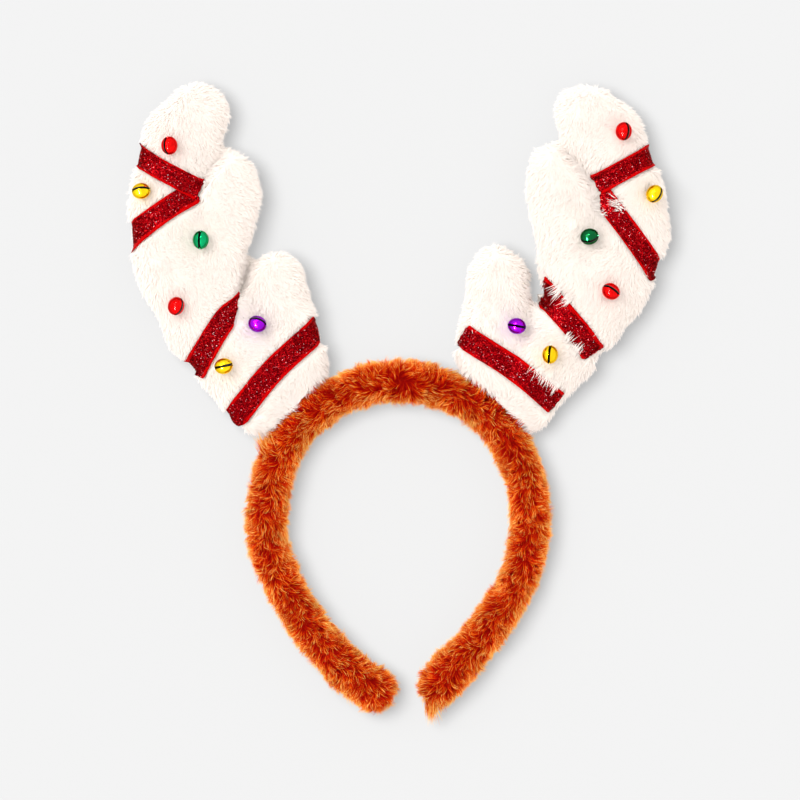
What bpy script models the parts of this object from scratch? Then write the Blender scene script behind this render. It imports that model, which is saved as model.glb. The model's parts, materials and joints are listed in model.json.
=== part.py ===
"""A reindeer antler headband, lying on its back on the surface that it rests on.

+Z is up and out of the front, +X is the wearer's left hand side as seen from the front (right in
a front view), and +Y points along the antlers. All lengths are in metres.

The pieces: a padded hoop under deep brown fur, two stuffed plush antlers sewn on to it, four strips
of ribbon across the front of each antler, and six small jingle bells on each antler.
"""

import math
import random

import bmesh
import bpy
from mathutils import Matrix, Vector
from mathutils.bvhtree import BVHTree

MM = 0.001

# Hoop
HOOP_RADIUS = 69 * MM
HOOP_WIDTH = 20.4 * MM
HOOP_DEPTH = 25 * MM
LOCK_LENGTH = 5 * MM
LOCK_HEIGHT = 1.6 * MM

# Antlers
ANTLER_HEIGHT = 178.5 * MM
ANTLER_DEPTH = 29 * MM
LEFT_SEAT_ANGLE = 132
RIGHT_SEAT_ANGLE = 49
PLUSH_VOXEL = 2.2 * MM
PLUSH_SMOOTHINGS = 4

# Ribbons
RIBBON_WIDTH = 11.5 * MM
RIBBON_THICKNESS = 0.8 * MM

# Bells
BELL_DIAMETER = 9 * MM
BELL_WALL = 0.5 * MM
SLOT_WIDTH = 0.9 * MM
SLOT_LENGTH = 5.6 * MM
SLOT_HOLE = 1.8 * MM
SHANK_DIAMETER = 2.4 * MM
SHANK_LENGTH = 1.4 * MM

# Clearance between pieces that are sewn or laid against each other
GAP = 0.3 * MM

# Fineness of the facets
HOOP_SIDES = 16
ANTLER_TRIANGLES = 1020
LOBE_SIDES = 20
LOBE_RING_SPACING = 6 * MM
RIBBON_STEPS = 5
BELL_SEGMENTS = 10
BELL_RINGS = 6
SHANK_SIDES = 8
HOLE_SIDES = 6
CURVE_STEPS = 600
MERGE_DISTANCE = 0.01 * MM

# How locks of fur stand out from the hoop and lean along it, as shares of their height and length
LOCK_TIP = (0.5, 0.28)
LOCK_ROOT = (-0.35, -0.10)
LOCK_SPREAD = (0.6, 1.2)

# Rounded ends: how many rings, and how far they reach as a share of the half width they close
END_RINGS = 3
HOOP_END = 0.9
LOBE_FOOT = 0.3
LOBE_TIP = 0.95

# Ribbons stop at an antler's side seams, just behind the middle of its depth
SEAM_LEVEL = 0.44

# How far a bell's shank reaches into its wall, as a share of the wall
SHANK_ROOT = 0.6

# Where a bell is tried against the plush below it: circles, as shares of its reach, and the
# number of places on each
PROBE_CIRCLES = (0, 0.25, 0.5, 0.75)
PROBE_PLACES = 8

# The hoop's centre line, anticlockwise from its right end. The reach is the distance from the
# hoop's centre as a share of HOOP_RADIUS, and the width is a share of HOOP_WIDTH.
ROUTE = [
    # angle, reach, width
    (-76.5, 1.228, 1.08),
    (-70, 1.143, 1.10),
    (-60, 1.065, 1.02),
    (-50, 1.009, 1.00),
    (-40, 0.980, 1.00),
    (-20, 0.950, 0.98),
    (0, 0.946, 1.00),
    (25, 0.965, 1.00),
    (50, 0.996, 1.00),
    (90, 1.005, 1.04),
    (130, 1.000, 1.00),
    (150, 0.986, 1.00),
    (170, 0.960, 1.02),
    (190, 0.964, 1.00),
    (210, 0.960, 0.98),
    (225, 0.995, 0.98),
    (240, 1.065, 1.02),
    (250, 1.145, 1.06),
    (262, 1.245, 1.12),
]

# The lobes that make up each antler, from its seat on the hoop outwards. Across, up and the half
# width are shares of ANTLER_HEIGHT, and the half depth and the lift towards the front are shares
# of ANTLER_DEPTH.
LEFT_LOBES = {
    "trunk": [
        # across, up, half_width, half_depth, lift
        (0.009, -0.015, 0.126, 0.35, -0.01),
        (-0.053, 0.063, 0.154, 0.41, 0.00),
        (-0.165, 0.161, 0.143, 0.47, 0.00),
        (-0.263, 0.287, 0.143, 0.50, 0.00),
        (-0.320, 0.427, 0.134, 0.49, 0.00),
        (-0.348, 0.553, 0.114, 0.45, 0.00),
        (-0.336, 0.666, 0.104, 0.42, 0.00),
        (-0.308, 0.750, 0.113, 0.40, 0.00),
        (-0.270, 0.816, 0.095, 0.37, 0.00),
    ],
    "middle_tine": [
        (-0.221, 0.315, 0.102, 0.42, 0.05),
        (-0.226, 0.427, 0.106, 0.43, 0.06),
        (-0.201, 0.525, 0.106, 0.41, 0.07),
        (-0.182, 0.610, 0.094, 0.37, 0.07),
        (-0.164, 0.655, 0.068, 0.31, 0.06),
    ],
    "lower_tine": [
        (-0.005, 0.077, 0.102, 0.37, -0.01),
        (-0.016, 0.161, 0.104, 0.41, 0.00),
        (-0.033, 0.259, 0.094, 0.42, 0.02),
        (-0.044, 0.352, 0.084, 0.36, 0.02),
    ],
}
RIGHT_LOBES = {
    "trunk": [
        (0.002, -0.022, 0.112, 0.35, -0.01),
        (0.060, 0.050, 0.118, 0.41, 0.00),
        (0.143, 0.145, 0.122, 0.46, 0.00),
        (0.243, 0.268, 0.134, 0.49, 0.00),
        (0.302, 0.400, 0.142, 0.50, 0.00),
        (0.333, 0.501, 0.132, 0.47, 0.00),
        (0.348, 0.596, 0.108, 0.43, 0.00),
        (0.295, 0.716, 0.106, 0.41, 0.00),
        (0.235, 0.796, 0.096, 0.37, 0.00),
    ],
    "middle_tine": [
        (0.229, 0.282, 0.112, 0.42, 0.05),
        (0.204, 0.408, 0.114, 0.43, 0.06),
        (0.173, 0.534, 0.108, 0.41, 0.07),
        (0.143, 0.630, 0.088, 0.36, 0.07),
        (0.135, 0.672, 0.066, 0.31, 0.06),
    ],
    "lower_tine": [
        (-0.017, 0.044, 0.102, 0.37, -0.01),
        (-0.026, 0.156, 0.108, 0.41, 0.00),
        (-0.017, 0.268, 0.096, 0.42, 0.02),
        (-0.018, 0.366, 0.086, 0.36, 0.02),
    ],
}

# The ribbons of each antler. Each runs from its first point to its last, and the points are
# shares of ANTLER_HEIGHT from the antler's seat. The width is a share of RIBBON_WIDTH. "Under"
# names the ribbon that lies over this one where they meet.
LEFT_RIBBONS = [
    # name, points, width, under
    ("upper", [(-0.450, 0.700), (-0.375, 0.653), (-0.258, 0.590)], 0.92, None),
    ("second", [(-0.480, 0.450), (-0.345, 0.547), (-0.270, 0.590)], 0.98, "upper"),
    ("third", [(-0.285, 0.080), (-0.200, 0.220), (-0.138, 0.300)], 1.02, None),
    ("lower", [(-0.175, -0.060), (-0.060, 0.085), (0.085, 0.215)], 1.10, None),
]
RIGHT_RIBBONS = [
    ("upper", [(0.440, 0.700), (0.340, 0.646), (0.256, 0.600)], 0.90, None),
    ("second", [(0.270, 0.580), (0.360, 0.460), (0.440, 0.350)], 0.92, "upper"),
    ("third", [(0.105, 0.310), (0.205, 0.195), (0.270, 0.110)], 1.04, None),
    ("lower", [(-0.140, 0.195), (0.025, 0.100), (0.175, -0.020)], 1.08, None),
]

# The bells of each antler. Across and up are shares of ANTLER_HEIGHT from the antler's seat. The
# turn is the direction of the slot in a front view, anticlockwise from +X, and the lean is how
# far the middle of the slot has rolled away from the front, to the left of that direction.
LEFT_BELLS = [
    # name, colour, across, up, turn, lean
    ("top", "red", -0.347, 0.718, 95, 35),
    ("outer", "gold", -0.426, 0.591, 5, 30),
    ("middle", "green", -0.259, 0.454, 88, 12),
    ("side", "red", -0.328, 0.269, 70, -45),
    ("inner", "purple", -0.101, 0.219, -20, 38),
    ("low", "gold", -0.195, 0.101, 12, 0),
]
RIGHT_BELLS = [
    ("top", "red", 0.336, 0.753, 85, -35),
    ("outer", "gold", 0.422, 0.578, 55, -50),
    ("middle", "green", 0.240, 0.458, 15, -35),
    ("side", "red", 0.300, 0.305, -40, 30),
    ("inner", "purple", 0.037, 0.208, -10, 0),
    ("low", "gold", 0.130, 0.128, 85, 8),
]

# Colour, roughness and metallic value of each material
MATERIALS = {
    "fur_brown": ((0.45, 0.13, 0.02, 1), 0.9, 0),
    "plush_white": ((0.93, 0.91, 0.86, 1), 0.9, 0),
    "ribbon_red": ((0.55, 0.01, 0.02, 1), 0.5, 0),
    "bell_red": ((0.75, 0.01, 0.01, 1), 0.25, 1),
    "bell_gold": ((0.80, 0.55, 0.05, 1), 0.25, 1),
    "bell_green": ((0.01, 0.35, 0.12, 1), 0.25, 1),
    "bell_purple": ((0.25, 0.02, 0.50, 1), 0.25, 1),
}


def new_collection(name):
    """A collection in the scene."""
    collection = bpy.data.collections.new(name)
    bpy.context.scene.collection.children.link(collection)
    return collection


def new_object(name, bm, collection, material=None):
    """An object made from a bmesh, which it uses up."""
    mesh = bpy.data.meshes.new(name)
    bm.to_mesh(mesh)
    bm.free()
    if material:
        mesh.materials.append(material)
    obj = bpy.data.objects.new(name, mesh)
    collection.objects.link(obj)
    return obj


def make_materials():
    """The materials by name."""
    made = {}
    for name, (colour, roughness, metallic) in MATERIALS.items():
        material = bpy.data.materials.new(name)
        material.use_nodes = True
        shader = material.node_tree.nodes["Principled BSDF"]
        shader.inputs["Base Color"].default_value = colour
        shader.inputs["Roughness"].default_value = roughness
        shader.inputs["Metallic"].default_value = metallic
        material.diffuse_color = colour
        made[name] = material
    return made


def modify(obj, kind, **settings):
    """Add a modifier with the given settings."""
    modifier = obj.modifiers.new(kind.lower(), kind)
    for name, value in settings.items():
        setattr(modifier, name, value)


def apply_modifiers(obj):
    """Replace an object's mesh by what its modifiers make of it."""
    evaluated = obj.evaluated_get(bpy.context.evaluated_depsgraph_get())
    mesh = bpy.data.meshes.new_from_object(evaluated)
    obj.modifiers.clear()
    obj.data = mesh


def cut(obj, cutter, operation):
    """Apply a Boolean of an object with a cutter."""
    modify(obj, "BOOLEAN", object=cutter, operation=operation, solver="EXACT")
    apply_modifiers(obj)


def smooth_rows(rows, position):
    """The rows' values at a position along them, on a Catmull-Rom curve through all of them."""
    last = len(rows) - 1
    first = min(int(position), last - 1)
    part = position - first
    before = rows[max(first - 1, 0)]
    start, end = rows[first], rows[first + 1]
    after = rows[min(first + 2, last)]
    values = []
    for a, b, c, d in zip(before, start, end, after):
        slope_in, slope_out = (c - a) / 2, (d - b) / 2
        bend = 3 * (c - b) - 2 * slope_in - slope_out
        twist = 2 * (b - c) + slope_in + slope_out
        values.append(b + part * (slope_in + part * (bend + part * twist)))
    return values


def stations(rows, place, spacing):
    """Positions along the rows that lie evenly spaced on the curve that place() gives."""
    fine = [i * (len(rows) - 1) / CURVE_STEPS for i in range(CURVE_STEPS + 1)]
    points = [place(smooth_rows(rows, t)) for t in fine]
    run = [0.0]
    for a, b in zip(points, points[1:]):
        run.append(run[-1] + (b - a).length)
    count = max(2, round(run[-1] / spacing))
    found = []
    at = 0
    for i in range(count + 1):
        goal = run[-1] * i / count
        while at < len(run) - 2 and run[at + 1] < goal:
            at += 1
        part = (goal - run[at]) / (run[at + 1] - run[at])
        found.append(fine[at] + part * (fine[at + 1] - fine[at]))
    return found


def add_rings(bm, rings, first_pole, last_pole):
    """Skin a row of rings, closed by a pole at each end."""
    sides = len(rings[0])
    made = [[bm.verts.new(point) for point in ring] for ring in rings]
    for a, b in zip(made, made[1:]):
        for j in range(sides):
            k = (j + 1) % sides
            bm.faces.new((a[j], a[k], b[k], b[j]))
    start, end = bm.verts.new(first_pole), bm.verts.new(last_pole)
    for j in range(sides):
        k = (j + 1) % sides
        bm.faces.new((made[0][k], made[0][j], start))
        bm.faces.new((made[-1][j], made[-1][k], end))
    bmesh.ops.recalc_face_normals(bm, faces=bm.faces)


def cap_steps():
    """How far out and how wide each ring of a rounded end is, as shares of its reach and width."""
    angles = [math.pi / 2 * (i + 1) / (END_RINGS + 1) for i in range(END_RINGS)]
    return [(math.sin(angle), math.cos(angle)) for angle in angles]


def hoop_point(values):
    """The point of the hoop's centre line that a row of ROUTE gives."""
    angle = math.radians(values[0])
    reach = values[1] * HOOP_RADIUS
    return Vector((reach * math.cos(angle), reach * math.sin(angle), 0))


def direction_at(rows, place, t):
    """The direction of the curve through the rows at a position along them."""
    step = (len(rows) - 1) / CURVE_STEPS
    ahead = place(smooth_rows(rows, min(t + step, len(rows) - 1)))
    behind = place(smooth_rows(rows, max(t - step, 0)))
    return (ahead - behind).normalized()


def hoop_sections(rows, spacing, extra):
    """Each section's centre, direction, half width and half depth, with rounded ends."""
    sections = []
    for t in stations(rows, hoop_point, spacing):
        values = smooth_rows(rows, t)
        half_width = values[2] * HOOP_WIDTH / 2 + extra
        along = direction_at(rows, hoop_point, t)
        sections.append((hoop_point(values), along, half_width, HOOP_DEPTH / 2 + extra))
    return with_rounded_ends(sections, HOOP_END, HOOP_END)


def with_rounded_ends(sections, first_share, last_share):
    """The sections with a rounded end added to each side, and the two end points."""
    first, last = sections[0], sections[-1]
    first_reach, last_reach = first[2] * first_share, last[2] * last_share
    whole = list(sections)
    for out, wide in cap_steps():
        start = first[0] - first[1] * out * first_reach
        end = last[0] + last[1] * out * last_reach
        whole.insert(0, (start, first[1], first[2] * wide, first[3] * wide))
        whole.append((end, last[1], last[2] * wide, last[3] * wide))
    poles = (first[0] - first[1] * first_reach, last[0] + last[1] * last_reach)
    return whole, poles


def oval_offsets(section, sides, turn):
    """The points of an oval section, measured from its centre."""
    centre, along, half_width, half_depth = section
    across = Vector((along.y, -along.x, 0)).normalized()
    front = across.cross(along).normalized()
    angles = [math.tau * (j + turn) / sides for j in range(sides)]
    return [across * math.cos(a) * half_width + front * math.sin(a) * half_depth for a in angles]


def oval_rings(sections, sides):
    """The points of each oval section."""
    return [[section[0] + offset for offset in oval_offsets(section, sides, 0)] for section in sections]


def hoop_floor():
    """The level of the hoop's flat underside below its centre line."""
    return -HOOP_DEPTH / 2 * math.cos(math.pi / HOOP_SIDES)


def make_headband(collection, material):
    """The fur-covered hoop: an oval tube whose surface is raised in short leaning locks."""
    sections, poles = hoop_sections(ROUTE, LOCK_LENGTH, 0)
    floor = hoop_floor()
    chance = random.Random(7)
    underside = (HOOP_SIDES * 3 // 4 - 1, HOOP_SIDES * 3 // 4)
    rings = []
    for i, section in enumerate(sections):
        centre, along = section[0], section[1]
        away = along if i * 2 > len(sections) else -along
        at_end = i < END_RINGS or i >= len(sections) - END_RINGS
        ring = []
        for j, offset in enumerate(oval_offsets(section, HOOP_SIDES, 0.5)):
            height, lean = LOCK_TIP if (i + j) % 2 == 0 else LOCK_ROOT
            lift = height * LOCK_HEIGHT * chance.uniform(*LOCK_SPREAD)
            slide = lean * LOCK_LENGTH * chance.uniform(*LOCK_SPREAD)
            point = centre + offset
            if j not in underside:
                point += offset.normalized() * lift + away * slide
            elif not at_end:
                point.z = floor
            point.z = max(point.z, floor)
            ring.append(point)
        rings.append(ring)
    bm = bmesh.new()
    add_rings(bm, rings, *poles)
    bmesh.ops.translate(bm, verts=bm.verts, vec=(0, 0, -floor))
    bmesh.ops.triangulate(bm, faces=bm.faces)
    return new_object("headband", bm, collection, material)


def make_seat_cutter(collection):
    """A smooth hoop, clear of the furred one all round, that shapes the antlers' feet."""
    highest = LOCK_HEIGHT * LOCK_TIP[0] * LOCK_SPREAD[1]
    upper = [row for row in ROUTE if 0 <= row[0] <= 180]
    sections, poles = hoop_sections(upper, 2 * LOCK_LENGTH, highest + GAP)
    bm = bmesh.new()
    add_rings(bm, oval_rings(sections, 2 * HOOP_SIDES), *poles)
    bmesh.ops.translate(bm, verts=bm.verts, vec=(0, 0, -hoop_floor()))
    return new_object("seat_cutter", bm, collection)


def seat_point(angle):
    """Where an antler sits: on the hoop's outer edge at an angle."""
    for first, (a, b) in enumerate(zip(ROUTE, ROUTE[1:])):
        if a[0] <= angle <= b[0]:
            values = smooth_rows(ROUTE, first + (angle - a[0]) / (b[0] - a[0]))
            centre = hoop_point(values)
            return centre * (1 + values[2] * HOOP_WIDTH / 2 / centre.length)
    raise ValueError("the angle is not on the hoop")


def lobe_point(values):
    """The middle of a lobe's section, from the antler's seat."""
    level = ANTLER_DEPTH * (0.5 + values[4])
    return Vector((values[0] * ANTLER_HEIGHT, values[1] * ANTLER_HEIGHT, level))


def add_lobe(bm, rows):
    """A tapered pad with oval sections along a row of sections, and rounded ends."""
    sections = []
    for t in stations(rows, lobe_point, LOBE_RING_SPACING):
        values = smooth_rows(rows, t)
        half_width, half_depth = values[2] * ANTLER_HEIGHT, values[3] * ANTLER_DEPTH
        sections.append((lobe_point(values), direction_at(rows, lobe_point, t), half_width, half_depth))
    sections, poles = with_rounded_ends(sections, LOBE_FOOT, LOBE_TIP)
    add_rings(bm, oval_rings(sections, LOBE_SIDES), *poles)


def make_antler(name, lobes, seat, cutter, collection, material):
    """A stuffed antler, measured from its seat: its lobes merged into one skin, and its foot
    shaped to the hoop. It comes with a copy of its mesh from before the foot was cut."""
    bm = bmesh.new()
    for rows in lobes.values():
        add_lobe(bm, rows)
    antler = new_object(name, bm, collection, material)
    modify(antler, "REMESH", mode="VOXEL", voxel_size=PLUSH_VOXEL)
    modify(antler, "SMOOTH", factor=0.5, iterations=PLUSH_SMOOTHINGS)
    apply_modifiers(antler)
    faces = sum(len(polygon.vertices) - 2 for polygon in antler.data.polygons)
    modify(antler, "DECIMATE", ratio=ANTLER_TRIANGLES / faces)
    apply_modifiers(antler)
    bm = bmesh.new()
    bm.from_mesh(antler.data)
    bmesh.ops.triangulate(bm, faces=bm.faces)
    lowest = min(vert.co.z for vert in bm.verts)
    bmesh.ops.translate(bm, verts=bm.verts, vec=(0, 0, -lowest))
    bm.to_mesh(antler.data)
    bm.free()
    uncut = antler.data.copy()
    antler.location = seat
    cut(antler, cutter, "DIFFERENCE")
    antler.location = (0, 0, 0)
    keep_largest(antler)
    return antler, uncut


def strip_outline(points, width):
    """The outline of a ribbon as seen from the front: up one edge and back down the other."""
    left, right = [], []
    for i in range(RIBBON_STEPS + 1):
        t = (len(points) - 1) * i / RIBBON_STEPS
        along = direction_at(points, Vector, t)
        here = Vector(smooth_rows(points, t)) * ANTLER_HEIGHT
        side = Vector((-along.y, along.x)) * width / 2
        left.append(here + side)
        right.append(here - side)
    return left + right[::-1]


def make_prism(outline, bottom, top, collection):
    """A strip's outline raised to a cutter."""
    bm = bmesh.new()
    low = [bm.verts.new((x, y, bottom)) for x, y in outline]
    high = [bm.verts.new((x, y, top)) for x, y in outline]
    count = len(outline)
    for i in range(RIBBON_STEPS):
        j, k = count - 1 - i, count - 2 - i
        bm.faces.new((low[i], low[i + 1], low[k], low[j]))
        bm.faces.new((high[j], high[k], high[i + 1], high[i]))
    for i in range(count):
        j = (i + 1) % count
        bm.faces.new((low[j], low[i], high[i], high[j]))
    bmesh.ops.recalc_face_normals(bm, faces=bm.faces)
    return new_object("ribbon_cutter", bm, collection)


def make_skin(mesh, inner, outer):
    """A hollow skin that lies over a mesh, between two distances from it."""
    bm = bmesh.new()
    for distance in (inner, outer):
        layer = bmesh.new()
        layer.from_mesh(mesh)
        layer.normal_update()
        moves = [vert.normal * distance for vert in layer.verts]
        for vert, move in zip(layer.verts, moves):
            vert.co += move
        if distance == inner:
            bmesh.ops.reverse_faces(layer, faces=layer.faces)
        copy = bpy.data.meshes.new("layer")
        layer.to_mesh(copy)
        layer.free()
        bm.from_mesh(copy)
        bpy.data.meshes.remove(copy)
    return bm


def make_ribbons(prefix, table, uncut, collection, cutters, material):
    """The strips of ribbon that lie over the front of an antler, sewn in at its side seams."""
    made = []
    over = {}
    low, high = ANTLER_DEPTH * SEAM_LEVEL, ANTLER_DEPTH * 2
    for name, points, share, under in table:
        width = share * RIBBON_WIDTH
        prism = make_prism(strip_outline(points, width), low, high, cutters)
        over[name] = make_prism(strip_outline(points, width + 2 * GAP), low - GAP, high + GAP, cutters)
        skin = make_skin(uncut, GAP, GAP + RIBBON_THICKNESS)
        ribbon = new_object(f"{prefix}_ribbon_{name}", skin, collection, material)
        cut(ribbon, prism, "INTERSECT")
        if under:
            cut(ribbon, over[under], "DIFFERENCE")
        keep_largest(ribbon)
        made.append(ribbon)
    return made


def keep_largest(obj):
    """Remove the crumbs that a cut leaves, and keep the main body."""
    bm = bmesh.new()
    bm.from_mesh(obj.data)
    bmesh.ops.remove_doubles(bm, verts=bm.verts, dist=MERGE_DISTANCE)
    left = set(bm.verts)
    groups = []
    while left:
        stack = [left.pop()]
        group = set(stack)
        while stack:
            for edge in stack.pop().link_edges:
                for vert in edge.verts:
                    if vert not in group:
                        group.add(vert)
                        stack.append(vert)
        left -= group
        groups.append(group)
    groups.sort(key=len)
    for group in groups[:-1]:
        bmesh.ops.delete(bm, geom=list(group), context="VERTS")
    bmesh.ops.triangulate(bm, faces=bm.faces)
    bm.to_mesh(obj.data)
    bm.free()


def bell_centre(tree, x, y):
    """Where a ball above a place comes to rest against a front, with the clearance between them."""
    reach = BELL_DIAMETER / 2 + GAP
    levels = []
    for share in PROBE_CIRCLES:
        for i in range(PROBE_PLACES):
            angle = math.tau * i / PROBE_PLACES
            away = share * reach
            start = Vector((x + away * math.cos(angle), y + away * math.sin(angle), 2 * ANTLER_DEPTH))
            hit = tree.ray_cast(start, Vector((0, 0, -1)))[0]
            if hit is not None:
                levels.append(hit.z + math.sqrt(reach**2 - away**2))
    return Vector((x, y, max(levels)))


def towards(direction, distance):
    """A frame whose Z axis points in a direction, and whose origin is some distance along it."""
    direction = direction.normalized()
    turn = Vector((0, 0, 1)).rotation_difference(direction).to_matrix().to_4x4()
    return Matrix.Translation(direction * distance) @ turn


def make_rod(name, diameter, length, frame, sides, collection):
    """A plain round rod whose middle is at the origin of a frame, along its Z axis."""
    bm = bmesh.new()
    radius = diameter / 2
    bmesh.ops.create_cone(
        bm, cap_ends=True, segments=sides, radius1=radius, radius2=radius, depth=length, matrix=frame
    )
    return new_object(name, bm, collection)


def make_ball(name, diameter, segments, rings, collection):
    """A ball with its middle at the origin."""
    bm = bmesh.new()
    bmesh.ops.create_uvsphere(bm, u_segments=segments, v_segments=rings, radius=diameter / 2)
    return new_object(name, bm, collection)


def make_slot_cutter(turn, lean, cutters):
    """The slot with a round hole at each end, turned and rolled to its place on the ball."""
    reach = BELL_DIAMETER / 2
    bm = bmesh.new()
    size = Matrix.Diagonal((SLOT_LENGTH, SLOT_WIDTH, reach, 1))
    bmesh.ops.create_cube(bm, size=1, matrix=Matrix.Translation((0, 0, reach)) @ size)
    slot = new_object("slot_cutter", bm, cutters)
    for end in (-1, 1):
        frame = Matrix.Translation((end * SLOT_LENGTH / 2, 0, reach))
        drill = make_rod("hole_cutter", SLOT_HOLE, reach, frame, HOLE_SIDES, cutters)
        cut(slot, drill, "UNION")
        bpy.data.objects.remove(drill)
    roll = Matrix.Rotation(math.radians(turn), 4, "Z") @ Matrix.Rotation(math.radians(-lean), 4, "X")
    slot.data.transform(roll)
    return slot


def make_bell(name, turn, lean, back, collection, cutters, material):
    """A hollow ball with a slot in its front, and a plain shank at its back."""
    radius = BELL_DIAMETER / 2
    bell = make_ball(name, BELL_DIAMETER, BELL_SEGMENTS, BELL_RINGS, collection)
    bell.data.materials.append(material)
    inside = BELL_DIAMETER - 2 * BELL_WALL
    hollow = make_ball("hollow", inside, BELL_SEGMENTS - 2, BELL_RINGS - 1, cutters)
    cut(bell, hollow, "DIFFERENCE")
    slot = make_slot_cutter(turn, lean, cutters)
    cut(bell, slot, "DIFFERENCE")
    root = BELL_WALL * SHANK_ROOT
    frame = towards(back, radius + (SHANK_LENGTH - root) / 2)
    shank = make_rod("shank", SHANK_DIAMETER, SHANK_LENGTH + root, frame, SHANK_SIDES, cutters)
    cut(bell, shank, "UNION")
    for tool in (hollow, slot, shank):
        bpy.data.objects.remove(tool)
    keep_largest(bell)
    return bell


def make_bells(prefix, table, antler, collection, cutters, materials):
    """The bells of one antler, each resting on the plush with its shank in a pocket."""
    bm = bmesh.new()
    bm.from_mesh(antler.data)
    tree = BVHTree.FromBMesh(bm)
    bm.free()
    made = []
    for name, colour, across, up, turn, lean in table:
        centre = bell_centre(tree, across * ANTLER_HEIGHT, up * ANTLER_HEIGHT)
        back = tree.find_nearest(centre)[0] - centre
        node = f"{prefix}_bell_{name}_{colour}"
        bell = make_bell(node, turn, lean, back, collection, cutters, materials[f"bell_{colour}"])
        bell.location = centre
        made.append(bell)
        middle = BELL_DIAMETER / 2 + SHANK_LENGTH / 2
        frame = Matrix.Translation(centre) @ towards(back, middle)
        width, depth = SHANK_DIAMETER + 2 * GAP, SHANK_LENGTH + 2 * GAP
        pocket = make_rod("pocket_cutter", width, depth, frame, HOLE_SIDES, cutters)
        cut(antler, pocket, "DIFFERENCE")
        bpy.data.objects.remove(pocket)
    keep_largest(antler)
    return made


def seat_on_origin(objects):
    """Move everything so that the middle of its underside is at the origin."""
    bpy.context.view_layer.update()
    corners = [obj.matrix_world @ vert.co for obj in objects for vert in obj.data.vertices]
    low = Vector([min(point[i] for point in corners) for i in range(3)])
    high = Vector([max(point[i] for point in corners) for i in range(3)])
    shift = Vector((-(low.x + high.x) / 2, -(low.y + high.y) / 2, -low.z))
    for obj in objects:
        obj.location += shift


def hide_cutters(collection):
    """Show the tools that cut the part as wires, and keep them out of renders."""
    for obj in collection.objects:
        obj.display_type = "WIRE"
        obj.hide_render = True


def main():
    for obj in list(bpy.data.objects):
        bpy.data.objects.remove(obj)
    parts = new_collection("reindeer_antler_headband")
    cutters = new_collection("cutters")
    materials = make_materials()
    objects = [make_headband(parts, materials["fur_brown"])]
    seat_cutter = make_seat_cutter(cutters)
    sides = [
        ("left", LEFT_SEAT_ANGLE, LEFT_LOBES, LEFT_RIBBONS, LEFT_BELLS),
        ("right", RIGHT_SEAT_ANGLE, RIGHT_LOBES, RIGHT_RIBBONS, RIGHT_BELLS),
    ]
    for side, angle, lobes, ribbons, bells in sides:
        seat = seat_point(angle)
        name, plush = f"antler_{side}", materials["plush_white"]
        antler, uncut = make_antler(name, lobes, seat, seat_cutter, parts, plush)
        pieces = [antler]
        pieces += make_ribbons(side, ribbons, uncut, parts, cutters, materials["ribbon_red"])
        pieces += make_bells(side, bells, antler, parts, cutters, materials)
        for piece in pieces:
            piece.location += seat
        objects += pieces
    seat_on_origin(objects)
    hide_cutters(cutters)


main()
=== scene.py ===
"""The looks of the reindeer antler headband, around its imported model.

The hoop and the antlers get a soft skin with combed fur on it. The ribbons become strips with a
glitter centre and plain edges, and the bells thin balls with a slot. All lengths are in metres, in
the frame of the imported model.
"""

import json
import math

import bmesh
import bpy
import numpy as np
from mathutils import Matrix, Vector, noise
from mathutils.bvhtree import BVHTree
from mathutils.kdtree import KDTree


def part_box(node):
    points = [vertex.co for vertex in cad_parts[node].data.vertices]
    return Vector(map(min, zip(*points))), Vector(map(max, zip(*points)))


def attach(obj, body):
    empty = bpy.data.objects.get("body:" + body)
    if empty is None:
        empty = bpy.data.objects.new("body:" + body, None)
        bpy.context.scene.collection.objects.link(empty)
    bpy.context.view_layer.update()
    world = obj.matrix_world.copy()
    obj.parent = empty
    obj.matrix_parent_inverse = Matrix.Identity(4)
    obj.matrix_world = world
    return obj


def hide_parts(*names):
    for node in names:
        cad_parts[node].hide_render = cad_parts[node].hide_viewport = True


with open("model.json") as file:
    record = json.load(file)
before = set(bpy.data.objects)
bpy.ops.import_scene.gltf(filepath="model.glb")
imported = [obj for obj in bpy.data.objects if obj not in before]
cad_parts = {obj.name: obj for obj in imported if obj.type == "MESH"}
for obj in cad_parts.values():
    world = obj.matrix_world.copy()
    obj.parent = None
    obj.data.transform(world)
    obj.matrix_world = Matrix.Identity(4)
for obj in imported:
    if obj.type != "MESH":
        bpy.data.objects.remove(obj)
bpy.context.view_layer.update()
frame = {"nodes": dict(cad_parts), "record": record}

MM = 0.001
SEED = 20

# Camera: straight above, from so far away that the depth hardly shifts anything
PHOTO_PIXELS = 800
PIXEL = 0.5 * MM
PHOTO_CENTRE = (1.53 * MM, -1.23 * MM)
VIEW_LEVEL = 14 * MM
LENS = 1000
SENSOR = 36

# Light: the sky's strength, each sun's strength, width in degrees and direction, the softboxes
# that only the bells reflect, and the floor's size, colour and glow
SKY = 1.28
SUN = 1.25
SUN_ANGLE = 34
SUN_FROM = (-0.48, 0.36, 0.80)
SOFTBOXES = [
    # name, place, size, power
    ("softbox_left", (-0.55, -0.50, 1.10), (0.22, 1.00), 95),
    ("softbox_top", (-0.20, 0.95, 1.1), (0.45, 0.12), 6),
]
FLOOR_SIZE = 8
FLOOR_COLOUR = (0.07, 0.07, 0.07, 1)
FLOOR_GLOW = 0.42
FLOOR_SUN = 17.5
FLOOR_SUN_ANGLE = 33
FLOOR_SUN_FROM = (-0.29, 0.12, 1)

# Sizes repeated from the part
HOOP_RADIUS = 69 * MM
ANTLER_HEIGHT = 178.5 * MM
SEAT_REACH = 79.2 * MM
SEAT_ANGLES = {"left": 132, "right": 49}
SEAM = 12.8 * MM
RIBBON_WIDTH = 11.5 * MM
BELL_RADIUS = 4.5 * MM
GAP = 0.3 * MM

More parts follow.
